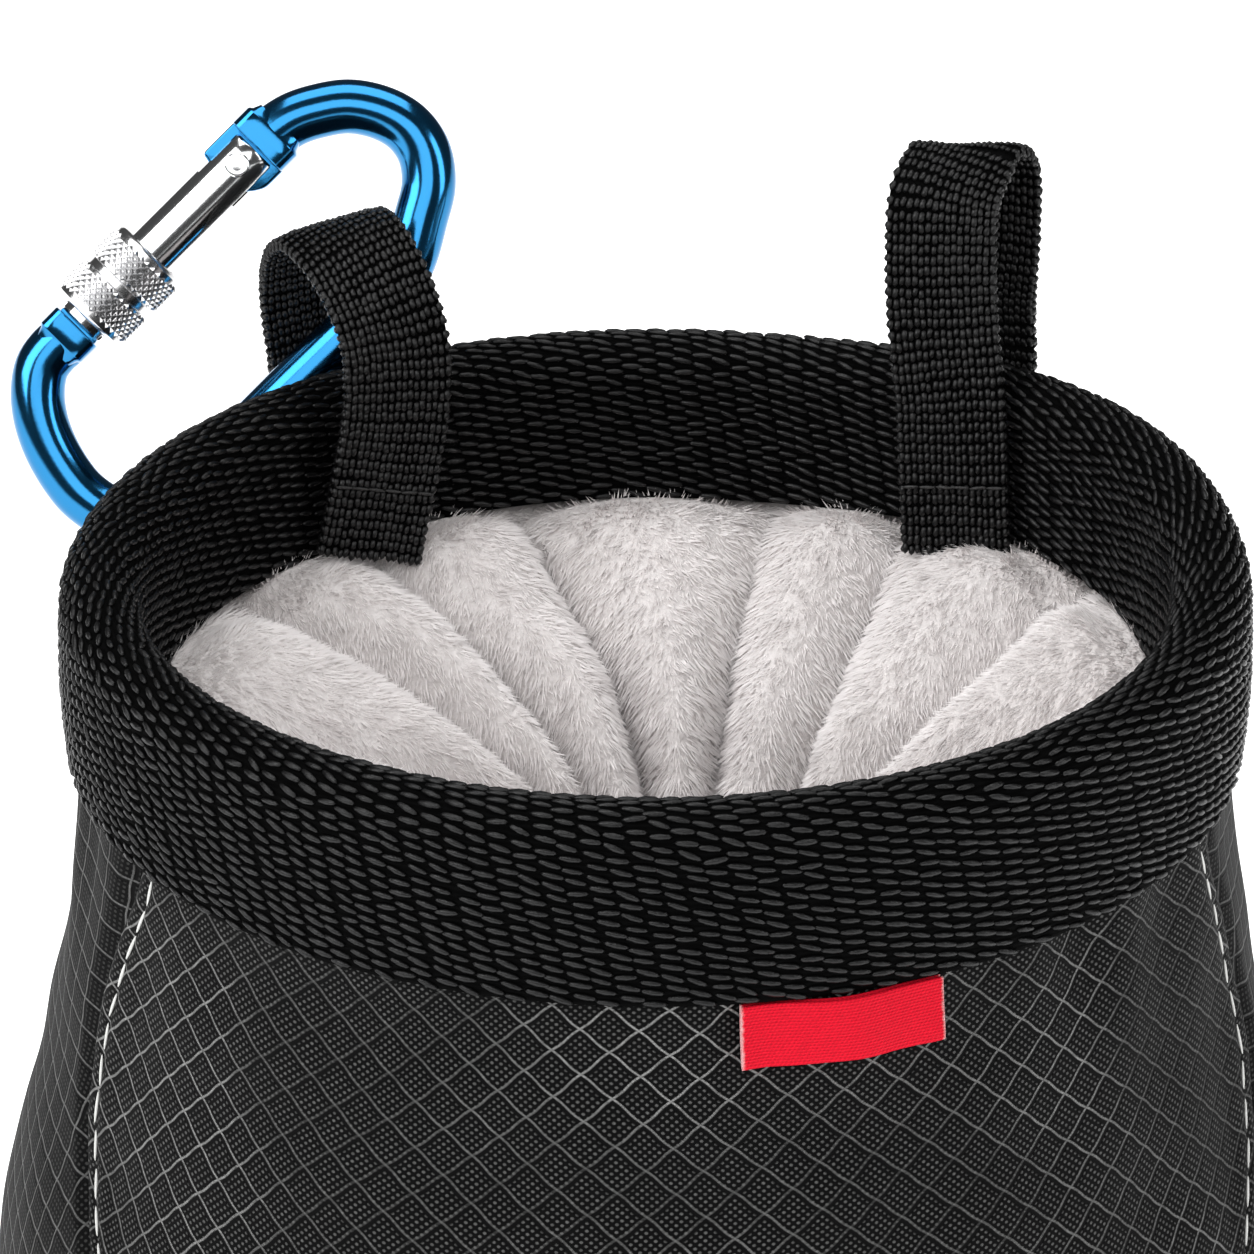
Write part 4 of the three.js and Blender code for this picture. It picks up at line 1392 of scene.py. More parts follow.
# From the rim's hem to the throat, all in shares: way inwards, way down, pleat depth, throat shift
COLLAR_ROWS = np.array([
    (0.0, -0.2, 0, 0), (0.008, 0.005, 0, 0), (0.07, 0.055, 0.05, 0), (0.14, 0.05, 0.16, 0.05),
    (0.235, 0.037, 0.3, 0.18), (0.41, 0.085, 0.52, 0.42), (0.58, 0.173, 0.72, 0.63),
    (0.72, 0.29, 0.88, 0.8), (0.84, 0.43, 1, 0.92), (0.935, 0.61, 0.95, 1),
    (0.985, 0.8, 0.85, 1), (1.0, 1.0, 0.8, 1),
])
# Azimuths at the rim and at the throat in degrees, share where a crease starts, share of its depth
CREASES = np.array([
    (-172, -168, 0.15, 0.9), (-147, -142, 0.1, 1), (-121, -114, 0.15, 0.85),
    (-95, -78, 0.25, 1), (-58, -55, 0.08, 0.8), (-38.5, -38, 0.1, 0.9), (-17, -13, 0.05, 1),
    (14.5, 7, 0.12, 1), (33, 36, 0.2, 0.85), (61, 66, 0.06, 1), (86, 92, 0.15, 0.8),
    (112, 118, 0.12, 0.95), (137, 143, 0.1, 0.85), (162, 168, 0.15, 0.9),
])


@dataclass
class Collar:
    """Pleated plush fleece between the rim and the throat."""

    rim: RimShape = field(default_factory=RimShape)
    thickness: float = 2.4
    throat_radius: float = 12.8
    drop: float = 29.5
    throat: tuple[float, float] = (3.5, 3.0)
    pleat_depth: float = 8.6
    early: float = 0.55
    sharpness: float = 0.68
    crown: float = 2.6
    gap: float = 0.3
    sunk: float = 0.9
    phases: int = 16
    rows: int = 50
    tufts: int = 84000
    tuft_size: tuple[float, float] = (1.6, 0.27)
    pile_start: float = 1.2
    tries_each: int = 3
    seed: int = 41

    def _point(self, turn: Array, row: Array, sink: float) -> Array:
        """Points of the collar.

        Args:
            turn: Creases passed and the phase to the next one.
            row: Places along the table of rows.
            sink: Depth below the side that shows.
        """
        count = len(CREASES)
        before = np.floor(turn).astype(int) % count
        phase = turn - np.floor(turn)
        after = (before + 1) % count
        wrap = np.where(after < before, 360.0, 0.0)
        inward, down, deep, shift = np.moveaxis(through(COLLAR_ROWS, row), -1, 0)
        inward = np.clip(inward, 0, 1)
        swirl = inward ** 1.5
        azimuth = np.radians(lerp(
            lerp(CREASES[before, 0], CREASES[before, 1], swirl),
            lerp(CREASES[after, 0] + wrap, CREASES[after, 1] + wrap, swirl),
            phase,
        ))
        nearer = np.where(phase < 0.5, before, after)
        start = CREASES[nearer, 2]
        grown = smooth(inward, start - 0.1, start + 0.25)
        wave = 1 - np.sin(math.pi * phase) ** self.sharpness
        deep = np.clip(deep, 0, 1) ** self.early
        crease = self.pleat_depth * deep * CREASES[nearer, 3] * grown * wave
        crown = self.crown * (1 - wave) * smooth(inward, 0.008, 0.06)
        crease -= crown * (1 - smooth(inward, 0.15, 0.6))
        step = 0.35
        ahead = through(COLLAR_ROWS, row + step) - through(COLLAR_ROWS, row - step)
        seat = self.rim.crest_radius - self.rim.pad_radius + self.rim.webbing + self.gap
        reach = seat - self.throat_radius
        run, fall = ahead[..., 0] * reach, ahead[..., 1] * self.drop
        slope = np.maximum(np.hypot(run, fall), 1e-9)
        depth = crease + sink
        radius = seat - inward * reach + depth * fall / slope
        level = (
            self.rim.crest_height - self.rim.inner_drop - down * self.drop - depth * run / slope
            + self.rim.lift(azimuth) * (1 - inward)
        )
        points = np.stack([
            radius * np.sin(azimuth) + self.throat[0] * shift,
            radius * np.cos(azimuth) + self.throat[1] * shift,
            level,
        ], -1)
        lumps = 0.5 * ripple(points, 19.0, 4) + 0.12 * ripple(points, 7.0, 8)
        points[..., 2] += lumps * smooth(inward, 0.03, 0.2) * (1 - smooth(inward, 0.9, 1.0))
        return points

    def _grid(self, sink: float) -> tuple[Array, Array]:
        """Grid of points at a depth, and the cloth's coordinates on it."""
        columns = len(CREASES) * self.phases
        turns, rows = np.meshgrid(
            np.arange(columns) / self.phases, np.linspace(0, len(COLLAR_ROWS) - 1, self.rows),
        )
        points = self._point(turns, rows, sink)
        run = lengths(points[:, columns // 2])
        rim = FULL_TURN * (self.rim.crest_radius - self.rim.pad_radius)
        across = np.linspace(0, rim, columns + 1)
        return points, cloth_grid(across, run)

    def _area(self, grid: Array) -> float:
        """Area of a ring-shaped grid in square millimetres."""
        around = np.roll(grid, -1, axis=1) - grid
        down = np.diff(grid, axis=0)
        return float(np.linalg.norm(np.cross(around[:-1], down), axis=-1).sum())

    def _pile(self) -> Layout:
        """Places and leans of the tufts, as many to each square millimetre everywhere."""
        dice = np.random.default_rng(self.seed)
        last = len(COLLAR_ROWS) - 1
        tries = self.tufts * self.tries_each
        turn = dice.uniform(0, len(CREASES), tries)
        row = dice.uniform(self.pile_start, last - 0.05, tries)
        step = 0.02
        down = self._point(turn, row + step, self.sunk) - self._point(turn, row - step, self.sunk)
        way = self._point(turn + step, row, self.sunk) - self._point(turn - step, row, self.sunk)
        area = np.linalg.norm(np.cross(down, way), axis=1)
        order = np.argsort(dice.uniform(0, 1, tries) ** (1 / np.maximum(area, 1e-9)))
        kept = order[-self.tufts:]
        turn, row, down, way = turn[kept], row[kept], down[kept], way[kept]
        out = unit(np.cross(down, way))
        out = out * np.where(out[:, 2:] < 0, -1.0, 1.0)
        phase = turn - np.floor(turn)
        aside = np.clip((phase - 0.5) * 3.0, -1, 1)[:, None] * unit(way)
        clump = ripple(self._point(turn, row, 0.0), 4.2, 15)[:, None]
        swirl = 0.35 * clump * np.cross(out, unit(down))
        flow = unit(0.8 * unit(down) + 0.75 * aside + swirl + dice.normal(0, 0.13, (len(kept), 3)))
        along = unit((0.5 + 0.1 * clump) * out + 0.85 * flow)
        tone = np.clip(0.55 + 0.2 * clump[:, 0] + dice.normal(0, 0.14, len(kept)), 0, 1)
        roots = self._point(turn, row, self.sunk + 0.25)
        return Layout(roots, along, out, tone)

    def build(self) -> None:
        """Makes the cloth and its pile."""
        front, cloth = self._grid(self.sunk)
        back, _ = self._grid(self.thickness)
        skin = closed_sheet(front, back, cloth, True)
        fleece = skin.object("fleece_cloth", PileFinish("fleece_ground", fibres=False).material())
        settle(fleece, Body.BAG, Slot.FLEECE, "fleece_collar")
        pile = PileFinish("fleece_pile").material()
        length, width = self.tuft_size
        layer = GrainLayer(Grain.TUFT, length, width, 0.75 * width, variation=0.3, sides=3, seed=9)
        places = self._pile()
        halves = [
            settle(layer.lay(places.part(slice(first, None, 2)), name, pile), Body.BAG, Slot.FLEECE)
            for first, name in enumerate(("fleece_pile_a", "fleece_pile_b"))
        ]
        width, length = cloth[0, -1, 0] * MM, cloth[-1, 0, 1] * MM
        area = min(self._area(front) * MM * MM, width * length)
        LOG.info("fleece flat %.0f x %.0f mm", width / MM, length / MM)


# Cloth body


# From the neck down: height and flare in shares, squareness, then the azimuths of the front's and
# the side's seams in degrees
SHELL_ROWS = np.array([
    (1.0, 0.0, 0, 61, 96), (0.9, 0.02, 0, 63, 96), (0.82, 0.1, 0, 67, 96), (0.74, 0.2, 0.1, 69, 97),
    (0.66, 0.35, 0.2, 67, 98), (0.59, 0.53, 0.3, 61, 99), (0.5, 0.74, 0.5, 55, 100),
    (0.38, 0.92, 0.7, 50, 100), (0.23, 1.0, 0.9, 46, 100), (0.09, 0.95, 1, 44, 100),
    (0.0, 0.86, 1, 43, 100),
])


@dataclass(frozen=True)
class Seam:
    """An edge of a panel: which seam of the shell it follows, and how it is sewn."""

    key: int
    sign: int
    overlap: float
    sink: float


@dataclass(frozen=True)
class Fold:
    """How sewn edges rise and sink: ranges of distance from the edge, heights and depths."""

    roll: tuple[float, float] = (0.0, 0.8)
    roll_depth: float = 0.35
    under: tuple[float, float] = (3.2, 7.0)
    proud: float = 0.3
    stitch_at: float = 2.4
    stitch_spread: float = 0.5
    stitch_depth: float = 0.28
    thins: tuple[float, float] = (2.0, 4.5)
    seam: tuple[float, float] = (0.8, 5.0)


@dataclass
class Shell:
    """The shape that all cloth panels lie on."""

    rim: RimShape = field(default_factory=RimShape)
    gap: float = 0.3
    wall: float = 1.3
    belly: float = 71.6
    corner_rise: float = 24.0
    corner_run: float = 12.0
    squareness: float = 2.3
    panel_turn: float = 4.0
    corner_steps: int = 3
    gathers: int = 26

    def __post_init__(self) -> None:
        """Works out the rows from the neck down round the corner."""
        rim = self.rim
        neck = rim.crest_radius + rim.pad_radius - rim.webbing - self.gap
        top = rim.crest_height - rim.pad_drop - self.gap
        height, flare, square, front, side = SHELL_ROWS.T
        radius = lerp(neck, self.belly, flare)
        level = lerp(self.corner_rise, top, height)
        rows = np.stack([level, radius, square, front, side], 1)
        corner = []
        for step in range(1, self.corner_steps + 1):
            angle = step / self.corner_steps * math.pi / 2
            corner.append((
                self.corner_rise * (1 - math.sin(angle)),
                radius[-1] - self.corner_run * (1 - math.cos(angle)),
                1.0, 42.0, 100.0,
            ))
        self.rows = np.vstack([rows, corner])
        fine = np.linspace(0, len(self.rows) - 1, 1300)
        values = through(self.rows, fine)
        self.places = fine
        self.run = lengths(values[:, :2])

    def at(self, place: Array, column: int) -> Array:
        """A column of the rows at places along them."""
        return through(self.rows, place)[..., column]

    def even(self, count: int) -> Array:
        """Places at even distances from the neck to the base."""
        return np.interp(np.linspace(0, self.run[-1], count), self.run, self.places)

    def point(self, azimuth: Array, place: Array) -> Array:
        """Points of the outer face at azimuths in radians from the front."""
        exponent = 2 + (self.squareness - 2) * self.at(place, 2)
        across, along = np.sin(azimuth), -np.cos(azimuth)
        norm = (np.abs(across) ** exponent + np.abs(along) ** exponent) ** (1 / exponent)
        radius = self.at(place, 1) / norm
        level = np.maximum(self.at(place, 0), 0.0)
        return np.stack([radius * across, radius * along, level], -1)

    def normal(self, azimuth: Array, place: Array) -> Array:
        """Outward directions there."""
        turn, step, last = 0.01, 0.12, len(self.rows) - 1
        round_way = self.point(azimuth + turn, place) - self.point(azimuth - turn, place)
        down = self.point(azimuth, np.minimum(place + step, last)) - self.point(
            azimuth, np.maximum(place - step, 0),
        )
        return unit(np.cross(down, round_way))

    def relief(self, points: Array) -> Array:
        """Soft unevenness of the hanging cloth, fading out at the base."""
        soft = 0.42 * ripple(points, 46.0, 21) + 0.16 * ripple(points, 15.0, 22)
        folds = np.sin(self.gathers * np.arctan2(points[..., 0], -points[..., 1]))
        gathers = 0.3 * folds * ripple(points, 60.0, 5)
        gathers = gathers * smooth(points[..., 2], 118.0, 146.0)
        return (soft + gathers) * smooth(points[..., 2], 0.0, 14.0)


@dataclass
class Panel:
    """One cloth panel between two seams of the shell."""

    name: str
    shell: Shell
    start: Seam
    end: Seam
    columns: int
    rows: int
    finish: RipstopFinish | CoarseWeaveFinish
    slot: Slot
    wraps: bool = False
    fold: Fold = field(default_factory=Fold)
    stitch_seed: int = 51
    stitch_floor: float = 6.0
    stitch_steps: int = 900

    def _azimuth(self, seam: Seam, places: Array) -> Array:
        """Azimuths of a seam in radians."""
        return np.radians(seam.sign * self.shell.at(places, seam.key) + self.shell.panel_turn)

    def grid(self) -> tuple[Array, Array, Array, Array]:
        """Azimuths, places, distances across from the panel's middle and distances down."""
        places = self.shell.even(self.rows)
        radius = self.shell.at(places, 1)
        low = self._azimuth(self.start, places) + (self.shell.gap / 2 - self.start.overlap) / radius
        high = self._azimuth(self.end, places)
        if self.wraps:
            high = high + FULL_TURN
        high = high - (self.shell.gap / 2 - self.end.overlap) / radius
        share = (1 - np.cos(np.linspace(0, math.pi, self.columns + 1))) / 2
        share = 0.6 * np.linspace(0, 1, self.columns + 1) + 0.4 * share
        azimuth = low[:, None] + (high - low)[:, None] * share[None, :]
        middle = ((low + high) / 2).mean()
        across = (azimuth - middle) * radius[:, None]
        run = np.interp(places, self.shell.places, self.shell.run)
        return azimuth, np.broadcast_to(places[:, None], azimuth.shape), across, run

    def _edge(self, across: Array) -> tuple[Array, Array]:
        """Sinking and thinning of the cloth towards both of its seams."""
        fold = self.fold
        from_start = across - across[:, :1]
        from_end = across[:, -1:] - across
        sink = np.zeros_like(across)
        thin = np.ones_like(across)
        for distance, seam in ((from_start, self.start), (from_end, self.end)):
            if seam.overlap > 0:
                rolled, flat = smooth(distance, *fold.roll), smooth(distance, *fold.under)
                sink += fold.roll_depth * (1 - rolled) - fold.proud * (1 - flat)
                dent = ((distance - fold.stitch_at) / fold.stitch_spread) ** 2
                sink += fold.stitch_depth * np.exp(-dent)
                thin *= 0.5 + 0.5 * smooth(distance, *fold.thins)
            else:
                away = smooth(distance, *fold.seam)
                sink += seam.sink * (1 - away)
                thin *= 0.55 + 0.45 * away
        return sink, thin

    def build(self) -> bpy.types.Object:
        """Makes the panel."""
        azimuth, places, across, run = self.grid()
        outer = self.shell.point(azimuth, places)
        normal = self.shell.normal(azimuth, places)
        sink, thin = self._edge(across)
        fade = smooth(outer[..., 2], 0.0, 6.0)
        offset = (self.shell.relief(outer) - sink * fade)[..., None]
        front = outer + offset * normal
        back = front - (self.shell.wall * 0.8 * thin)[..., None] * normal
        front[..., 2], back[..., 2] = np.maximum(front[..., 2], 0.0), np.maximum(back[..., 2], 0.0)
        cloth = cloth_grid(across, run)
        made = closed_sheet(front, back, cloth).object(self.name, self.finish.material())
        settle(made, Body.BAG, self.slot, self.name.replace("_cloth", ""))
        width = float((across[:, -1] - across[:, 0]).max()) * MM
        return made

    def stitch_line(self, inset: float, pitch: float, at_start: bool) -> Layout:
        """Places of a row of stitches beside one of the panel's seams.

        Args:
            inset: Distance from the panel's edge.
            pitch: Distance from stitch to stitch.
            at_start: True beside the first seam.
        """
        places = self.shell.even(self.stitch_steps)
        radius = self.shell.at(places, 1)
        seam, side = (self.start, 1) if at_start else (self.end, -1)
        edge = self._azimuth(seam, places) + side * (self.shell.gap / 2 - seam.overlap) / radius
        azimuth = edge + side * inset / radius
        points = self.shell.point(azimuth, places)
        normal = self.shell.normal(azimuth, places)
        points = points + (self.shell.relief(points) + 0.12)[:, None] * normal
        hem = self.shell.rim.crest_height - self.shell.rim.outer_drop + 1
        kept = (points[:, 2] < hem) & (points[:, 2] > self.stitch_floor)
        points, normal = points[kept], normal[kept]
        count = int(lengths(points)[-1] / pitch)
        line = evenly(np.hstack([points, normal]), count)
        dice = np.random.default_rng(self.stitch_seed)
        along = unit(np.gradient(line[:, :3], axis=0) + dice.normal(0, 0.04 * pitch, (count, 3)))
        return Layout(line[:, :3], along, unit(line[:, 3:]), dice.uniform(0, 1, count))


@dataclass
class ClothBody:
    """Front, gussets, back and base of the bag, with the white topstitching."""

    shell: Shell = field(default_factory=Shell)
    stitch: tuple[float, float, float] = (3.3, 0.42, 0.3)
    stitch_pitch: float = 3.75
    inset: float = 2.4
    base_sides: int = 160

    def _base(self) -> None:
        """The flat base inside the panels' lower edges."""
        shell = self.shell
        last = np.array([len(shell.rows) - 1.0])
        azimuths = circle(self.base_sides)
        edge = shell.point(azimuths, np.repeat(last, self.base_sides))[:, :2]
        edge = edge * (1 - shell.gap / np.linalg.norm(edge, axis=1, keepdims=True))
        shares = np.array([1.0, 0.985, 0.9, 0.75, 0.6, 0.45, 0.3, 0.15, 0.01])
        flat = edge[None] * shares[:, None, None]
        lift = 0.25 * (1 - smooth(shares, 0.8, 0.98))[:, None] * (1 + 0.4 * ripple(
            np.concatenate([flat, 0 * flat[..., :1]], -1), 30.0, 31,
        ))
        low = np.concatenate([flat, np.maximum(lift, 0)[..., None]], -1)
        high = np.concatenate([flat, np.maximum(lift, 0)[..., None] + shell.wall * 0.75], -1)
        cloth = np.concatenate([low, low[:, :1]], 1)[..., :2]
        finish = CoarseWeaveFinish("base_weave").material()
        made = closed_sheet(low, high, cloth, True).object("base_cloth", finish)
        settle(made, Body.BAG, Slot.COARSE_WEAVE, "base_panel")

    def build(self) -> None:
        """Makes the panels, the base and the stitches."""
        front_seam, side_seam = 3, 4
        cloth = RipstopFinish("ripstop_front", angle=45.0)
        front = Panel(
            "front_panel_cloth", self.shell,
            Seam(front_seam, -1, 1.1, 0), Seam(front_seam, 1, 1.1, 0),
            110, 100, cloth, Slot.RIPSTOP,
        )
        front.build()
        for name, start, end in (
            ("side_gusset_right", Seam(front_seam, 1, 0, 1.15), Seam(side_seam, 1, 0, 0.7)),
            ("side_gusset_left", Seam(side_seam, -1, 0, 0.7), Seam(front_seam, -1, 0, 1.15)),
        ):
            ripstop = RipstopFinish(
                f"{name}_ripstop", angle=8.0,
                dotted=(0.04, 0.04, 0.039), ribbed=(0.15, 0.15, 0.148),
            )
            Panel(f"{name}_cloth", self.shell, start, end, 56, 110, ripstop, Slot.RIPSTOP).build()
        Panel(
            "back_panel_cloth", self.shell, Seam(side_seam, 1, 0, 0.7), Seam(side_seam, -1, 0, 0.7),
            100, 72, CoarseWeaveFinish("back_weave"), Slot.COARSE_WEAVE, wraps=True,
        ).build()
        self._base()
        length, width, height = self.stitch
        layer = GrainLayer(Grain.SPINDLE, length, width, height, variation=0.06, sides=8, rings=6)
        thread = YarnFinish("white_thread", (0.72, 0.72, 0.7), 0.12, 0.55, 0.12).material()
        places = Layout.joined([
            front.stitch_line(self.inset, self.stitch_pitch, at_start) for at_start in (True, False)
        ])
        settle(layer.lay(places, "topstitching", thread), Body.BAG, Slot.RIPSTOP)


@dataclass
class Label:
    """Folded red tape that hangs from the band's outer edge."""

    shell: Shell = field(default_factory=Shell)
    width: float = 20.0
    height: float = 6.4
    layer: float = 0.32
    azimuth: float = 17.5
    columns: int = 40
    doubled: float = 0.95
    fold_height: float = 0.35
    bulge: float = 0.12
    curl: float = 0.3
    wave: float = 0.1

    def _path(self) -> Array:
        """Distance out of the cloth and distance down, from the front's top round to the back's."""
        near = self.shell.gap + self.layer / 2
        far = self.shell.gap + self.doubled - self.layer / 2
        middle, radius = (near + far) / 2, (far - near) / 2
        down = np.linspace(0, self.height - self.fold_height, 24)
        bend = np.linspace(0, math.pi, 9)[1:-1]
        bulge = self.bulge * np.sin(math.pi * down / down[-1])
        front = np.stack([far + bulge, down], 1)
        lowest = down[-1] + self.fold_height * np.sin(bend)
        fold = np.stack([middle + radius * np.cos(bend), lowest], 1)
        back = np.stack([near + 0 * down, down[::-1]], 1)
        return np.vstack([front, fold, back])

    def build(self) -> None:
        """Makes the label."""
        shell = self.shell
        path = self._path()
        ways = unit(np.gradient(path, axis=0))
        aside = np.stack([ways[:, 1], -ways[:, 0]], 1)
        run = lengths(path)
        across = np.linspace(-self.width / 2, self.width / 2, self.columns + 1)
        top = shell.rim.crest_height - shell.rim.outer_drop - shell.gap
        levels = through(shell.rows, shell.places)[:, 0]
        grids = []
        for side in (0.5, -0.5):
            profile = path + side * self.layer * aside
            out, down = profile[:, 0][:, None], profile[:, 1][:, None]
            place = np.interp(-(top - down), -levels, shell.places)
            azimuth = math.radians(self.azimuth) + across[None, :] / shell.at(place, 1)
            place = np.broadcast_to(place, azimuth.shape)
            corner = smooth(np.abs(across), 7.0, 10.0)
            curl = self.curl * corner[None, :] * smooth(down, 2.0, self.height)
            wave = self.wave * np.sin(across * 0.9)[None, :] * smooth(down, 0.0, self.height)
            offset = (out + curl + wave + 0.1)[..., None]
            points = shell.point(azimuth, place)
            relief = shell.relief(points)[..., None]
            grids.append(points + (offset + relief) * shell.normal(azimuth, place))
        cloth = cloth_grid(across, run)
        finish = TapeFinish("red_tape", self.width).material()
        made = closed_sheet(*grids, cloth).object("label_tape", finish)
        settle(made, Body.BAG, Slot.LABEL_TAPE, "label")
        self.width * MM


# Carabiner


# The rod's middle line from nose to hinge, in shares of the length along and the width across
ROD_ROWS = np.array([
    (0.19, 1), (0.167, 1.004), (0.126, 0.986), (0.084, 0.912), (0.05, 0.807), (0.023, 0.671),
    (0.004, 0.495), (0, 0.362), (0.015, 0.2), (0.055, 0.076), (0.118, 0.009), (0.198, 0),
    (0.44, 0), (0.69, 0), (0.797, 0.033), (0.891, 0.157), (0.95, 0.251), (0.989, 0.382),
    (1, 0.524), (0.986, 0.668), (0.947, 0.818), (0.891, 0.921), (0.845, 0.976), (0.797, 1),
])


@dataclass
class Carabiner:
    """Small screw-gate carabiner: blue body, steel gate, rivet and knurled sleeve."""

    rim: RimShape = field(default_factory=RimShape)
    gap: float = 0.3
    rod: float = 5.9
    length: float = 52.6
    width: float = 21.0
    seat_along: float = 0.521
    nose_start: float = 17.4
    hinge_face: float = 12.2
    shoulder: float = 2.4
    nose_width: float = 6.1
    hinge_width: float = 7.4
    tang: float = 2.0
    slope: float = 44.9
    lean: float = 24.9
    seat_azimuth: float = 35.4
    seat_lift: float = 14.8
    gate: float = 5.7
    bore: float = 3.3
    slot: float = 2.6
    pivot_inset: float = 2.5
    nose_slot: float = 0.8
    rivet_head: float = 2.7
    rivet_height: float = 0.5
    rivet_pin: float = 1.6
    sleeve: float = 9.4
    sleeve_length: float = 9.9
    nose_inset: float = 1.3
    groove: float = 1.0
    groove_depth: float = 0.6
    knurl_around: int = 32
    knurl_pitch: float = 0.92
    knurl_depth: float = 0.34
    rod_steps: int = 210
    rod_sides: int = 44
    head_sides: int = 72
    rivet_sides: int = 40
    sleeve_sides: int = 96
    corner_power: float = 5.0

    def __post_init__(self) -> None:
        """Works out the places along the gate and the carabiner's own axes."""
        self.nose_face = -self.nose_start + self.shoulder
        self.gate_low = self.nose_face + self.gap
        self.gate_high = self.hinge_face - self.gap
        self.pivot = self.gate_high - self.pivot_inset
        slope, lean = math.radians(self.slope), math.radians(self.lean)
        level, depth = math.cos(lean), math.sin(lean)
        along = (math.cos(slope), math.sin(slope) * depth, math.sin(slope) * level)
        across = (-math.sin(slope), math.cos(slope) * depth, math.cos(slope) * level)
        towards = (0.0, -level, depth)
        self.axes = np.array([along, across, towards]).T
        reach = self.rim.pad_radius + self.rod / 2 + self.gap + 0.1
        lift = math.radians(self.seat_lift)
        radius = self.rim.crest_radius + reach * math.cos(lift)
        azimuth = math.radians(self.seat_azimuth)
        self.seat = np.array([
            -radius * math.sin(azimuth),
            radius * math.cos(azimuth),
            self.rim.crest_height - self.rim.pad_radius + reach * math.sin(lift),
        ])

    def _placed(self, skin: Skin) -> Skin:
        """Skin moved from the carabiner's own axes to its place on the rim."""
        return skin.placed(self.axes, self.seat)

    def _rod(self) -> Skin:
        """The round rod from inside the nose round the spine to inside the hinge."""
        ends = [
            (-self.nose_start + self.shoulder / 2, self.width),
            (self.hinge_face + self.shoulder / 2, self.width),
        ]
        along = (ROD_ROWS[:, 0] - self.seat_along) * self.length
        rows = np.stack([along, ROD_ROWS[:, 1] * self.width], 1)
        knots = np.vstack([ends[:1], rows, ends[1:]])
        line = evenly(centripetal(knots, np.linspace(0, 1, 2000)), self.rod_steps)
        ways = unit(np.gradient(line, axis=0))
        aside = np.stack([-ways[:, 1], ways[:, 0]], 1)
        angles = circle(self.rod_sides)
        radius = self.rod / 2
        flat = line[:, None] + radius * np.cos(angles)[None, :, None] * aside[:, None]
        height = np.broadcast_to(radius * np.sin(angles), flat.shape[:2])
        return tube(np.concatenate([flat, height[..., None]], -1))

    def _head(self, face: float, outward: int, width: float) -> Skin:
        """The flattened end of the rod behind a face that looks at the gate."""
        places = self.shoulder * np.array([0, 0.02, 0.07, 0.5, 1.0, 1.06, 1.14, 1.5])
        wide = np.array([0.93, 0.98, 1, 1, 1, 0.97, 0.9, 0.8]) * width / 2
        deep = np.array([0.94, 1, 1.03, 1.03, 1.03, 1, 0.94, 0.85]) * self.rod / 2
        angles = circle(self.head_sides)
        power = 2 / self.corner_power
        cosine, sine = np.cos(angles), np.sin(angles)
        across = np.sign(cosine) * np.abs(cosine) ** power
        height = np.sign(sine) * np.abs(sine) ** power
        sections = np.stack(np.broadcast_arrays(
            (face + outward * places)[:, None],
            self.width + wide[:, None] * across[None, :],
            deep[:, None] * height[None, :],
        ), -1)
        return tube(sections)

    def _plate(
        self, outline: Sequence[tuple[float, float]], thickness: float, round_off: float,
    ) -> Skin:
        """A plate in the carabiner's plane with a rounded edge.

        Args:
            outline: Places along and across.
            thickness: Thickness of the plate.
            round_off: How far its edges are rounded.
        """
        corners = np.array(outline)
        closed = np.vstack([corners, corners[:1]])
        edge = evenly(closed, 120)[:-1]
        for _ in range(8):
            edge = 0.5 * edge + 0.25 * (np.roll(edge, 1, 0) + np.roll(edge, -1, 0))
        middle = edge.mean(0)
        ways = unit(np.roll(edge, -1, 0) - np.roll(edge, 1, 0))
        inner = np.stack([-ways[:, 1], ways[:, 0]], 1)
        inner = inner * np.sign(((middle - edge) * inner).sum(1).mean())
        sections = []
        for turn in np.linspace(-math.pi / 2, math.pi / 2, 9):
            height = (thickness / 2 - round_off) * np.sign(turn) + round_off * math.sin(turn)
            ring = edge + inner * round_off * (1 - math.cos(turn))
            sections.append(np.column_stack([ring, np.full(len(ring), height)]))
        return tube(np.array(sections))

    def _body(self) -> None:
        """The blue body with its heads, lips and tang."""
        lip = self.hinge_width / 2
        end = self.hinge_face + self.shoulder / 3
        hinge = [
            (end, -lip), (0.1 * lip, -lip), (-0.3 * lip, -0.75 * lip), (-0.6 * lip, -0.35 * lip),
            (-0.65 * lip, 0), (-0.6 * lip, 0.45 * lip), (-0.5 * lip, 0.8 * lip), (-0.5 * lip, lip),
            (end, lip),
        ]
        plate = [
            (along if along == end else self.pivot + along, self.width + across)
            for along, across in hinge
        ]
        reach, half = self.nose_slot - self.gap, self.gate / 2 - self.gap
        tang = [
            (self.nose_face - self.shoulder / 2, self.width - half),
            (self.nose_face + reach, self.width - half),
            (self.nose_face + reach, self.width + half),
            (self.nose_face - self.shoulder / 2, self.width + half),
        ]
        skin = Skin.joined([
            self._rod(),
            self._head(self.nose_face, -1, self.nose_width),
            self._head(self.hinge_face, 1, self.hinge_width),
            self._plate(plate, self.tang, 0.3),
            self._plate(tang, self.tang, 0.1),
        ])
        blue = MetalFinish("blue_anodised_polish", (0.024, 0.2, 0.44), 0.14, coat=0.1).material()
        made = self._placed(skin).object("carabiner_rod", blue)
        made.data.set_sharp_from_angle(angle=SHARP)
        settle(made, Body.BAG, Slot.BLUE_ANODISED, "carabiner_body")

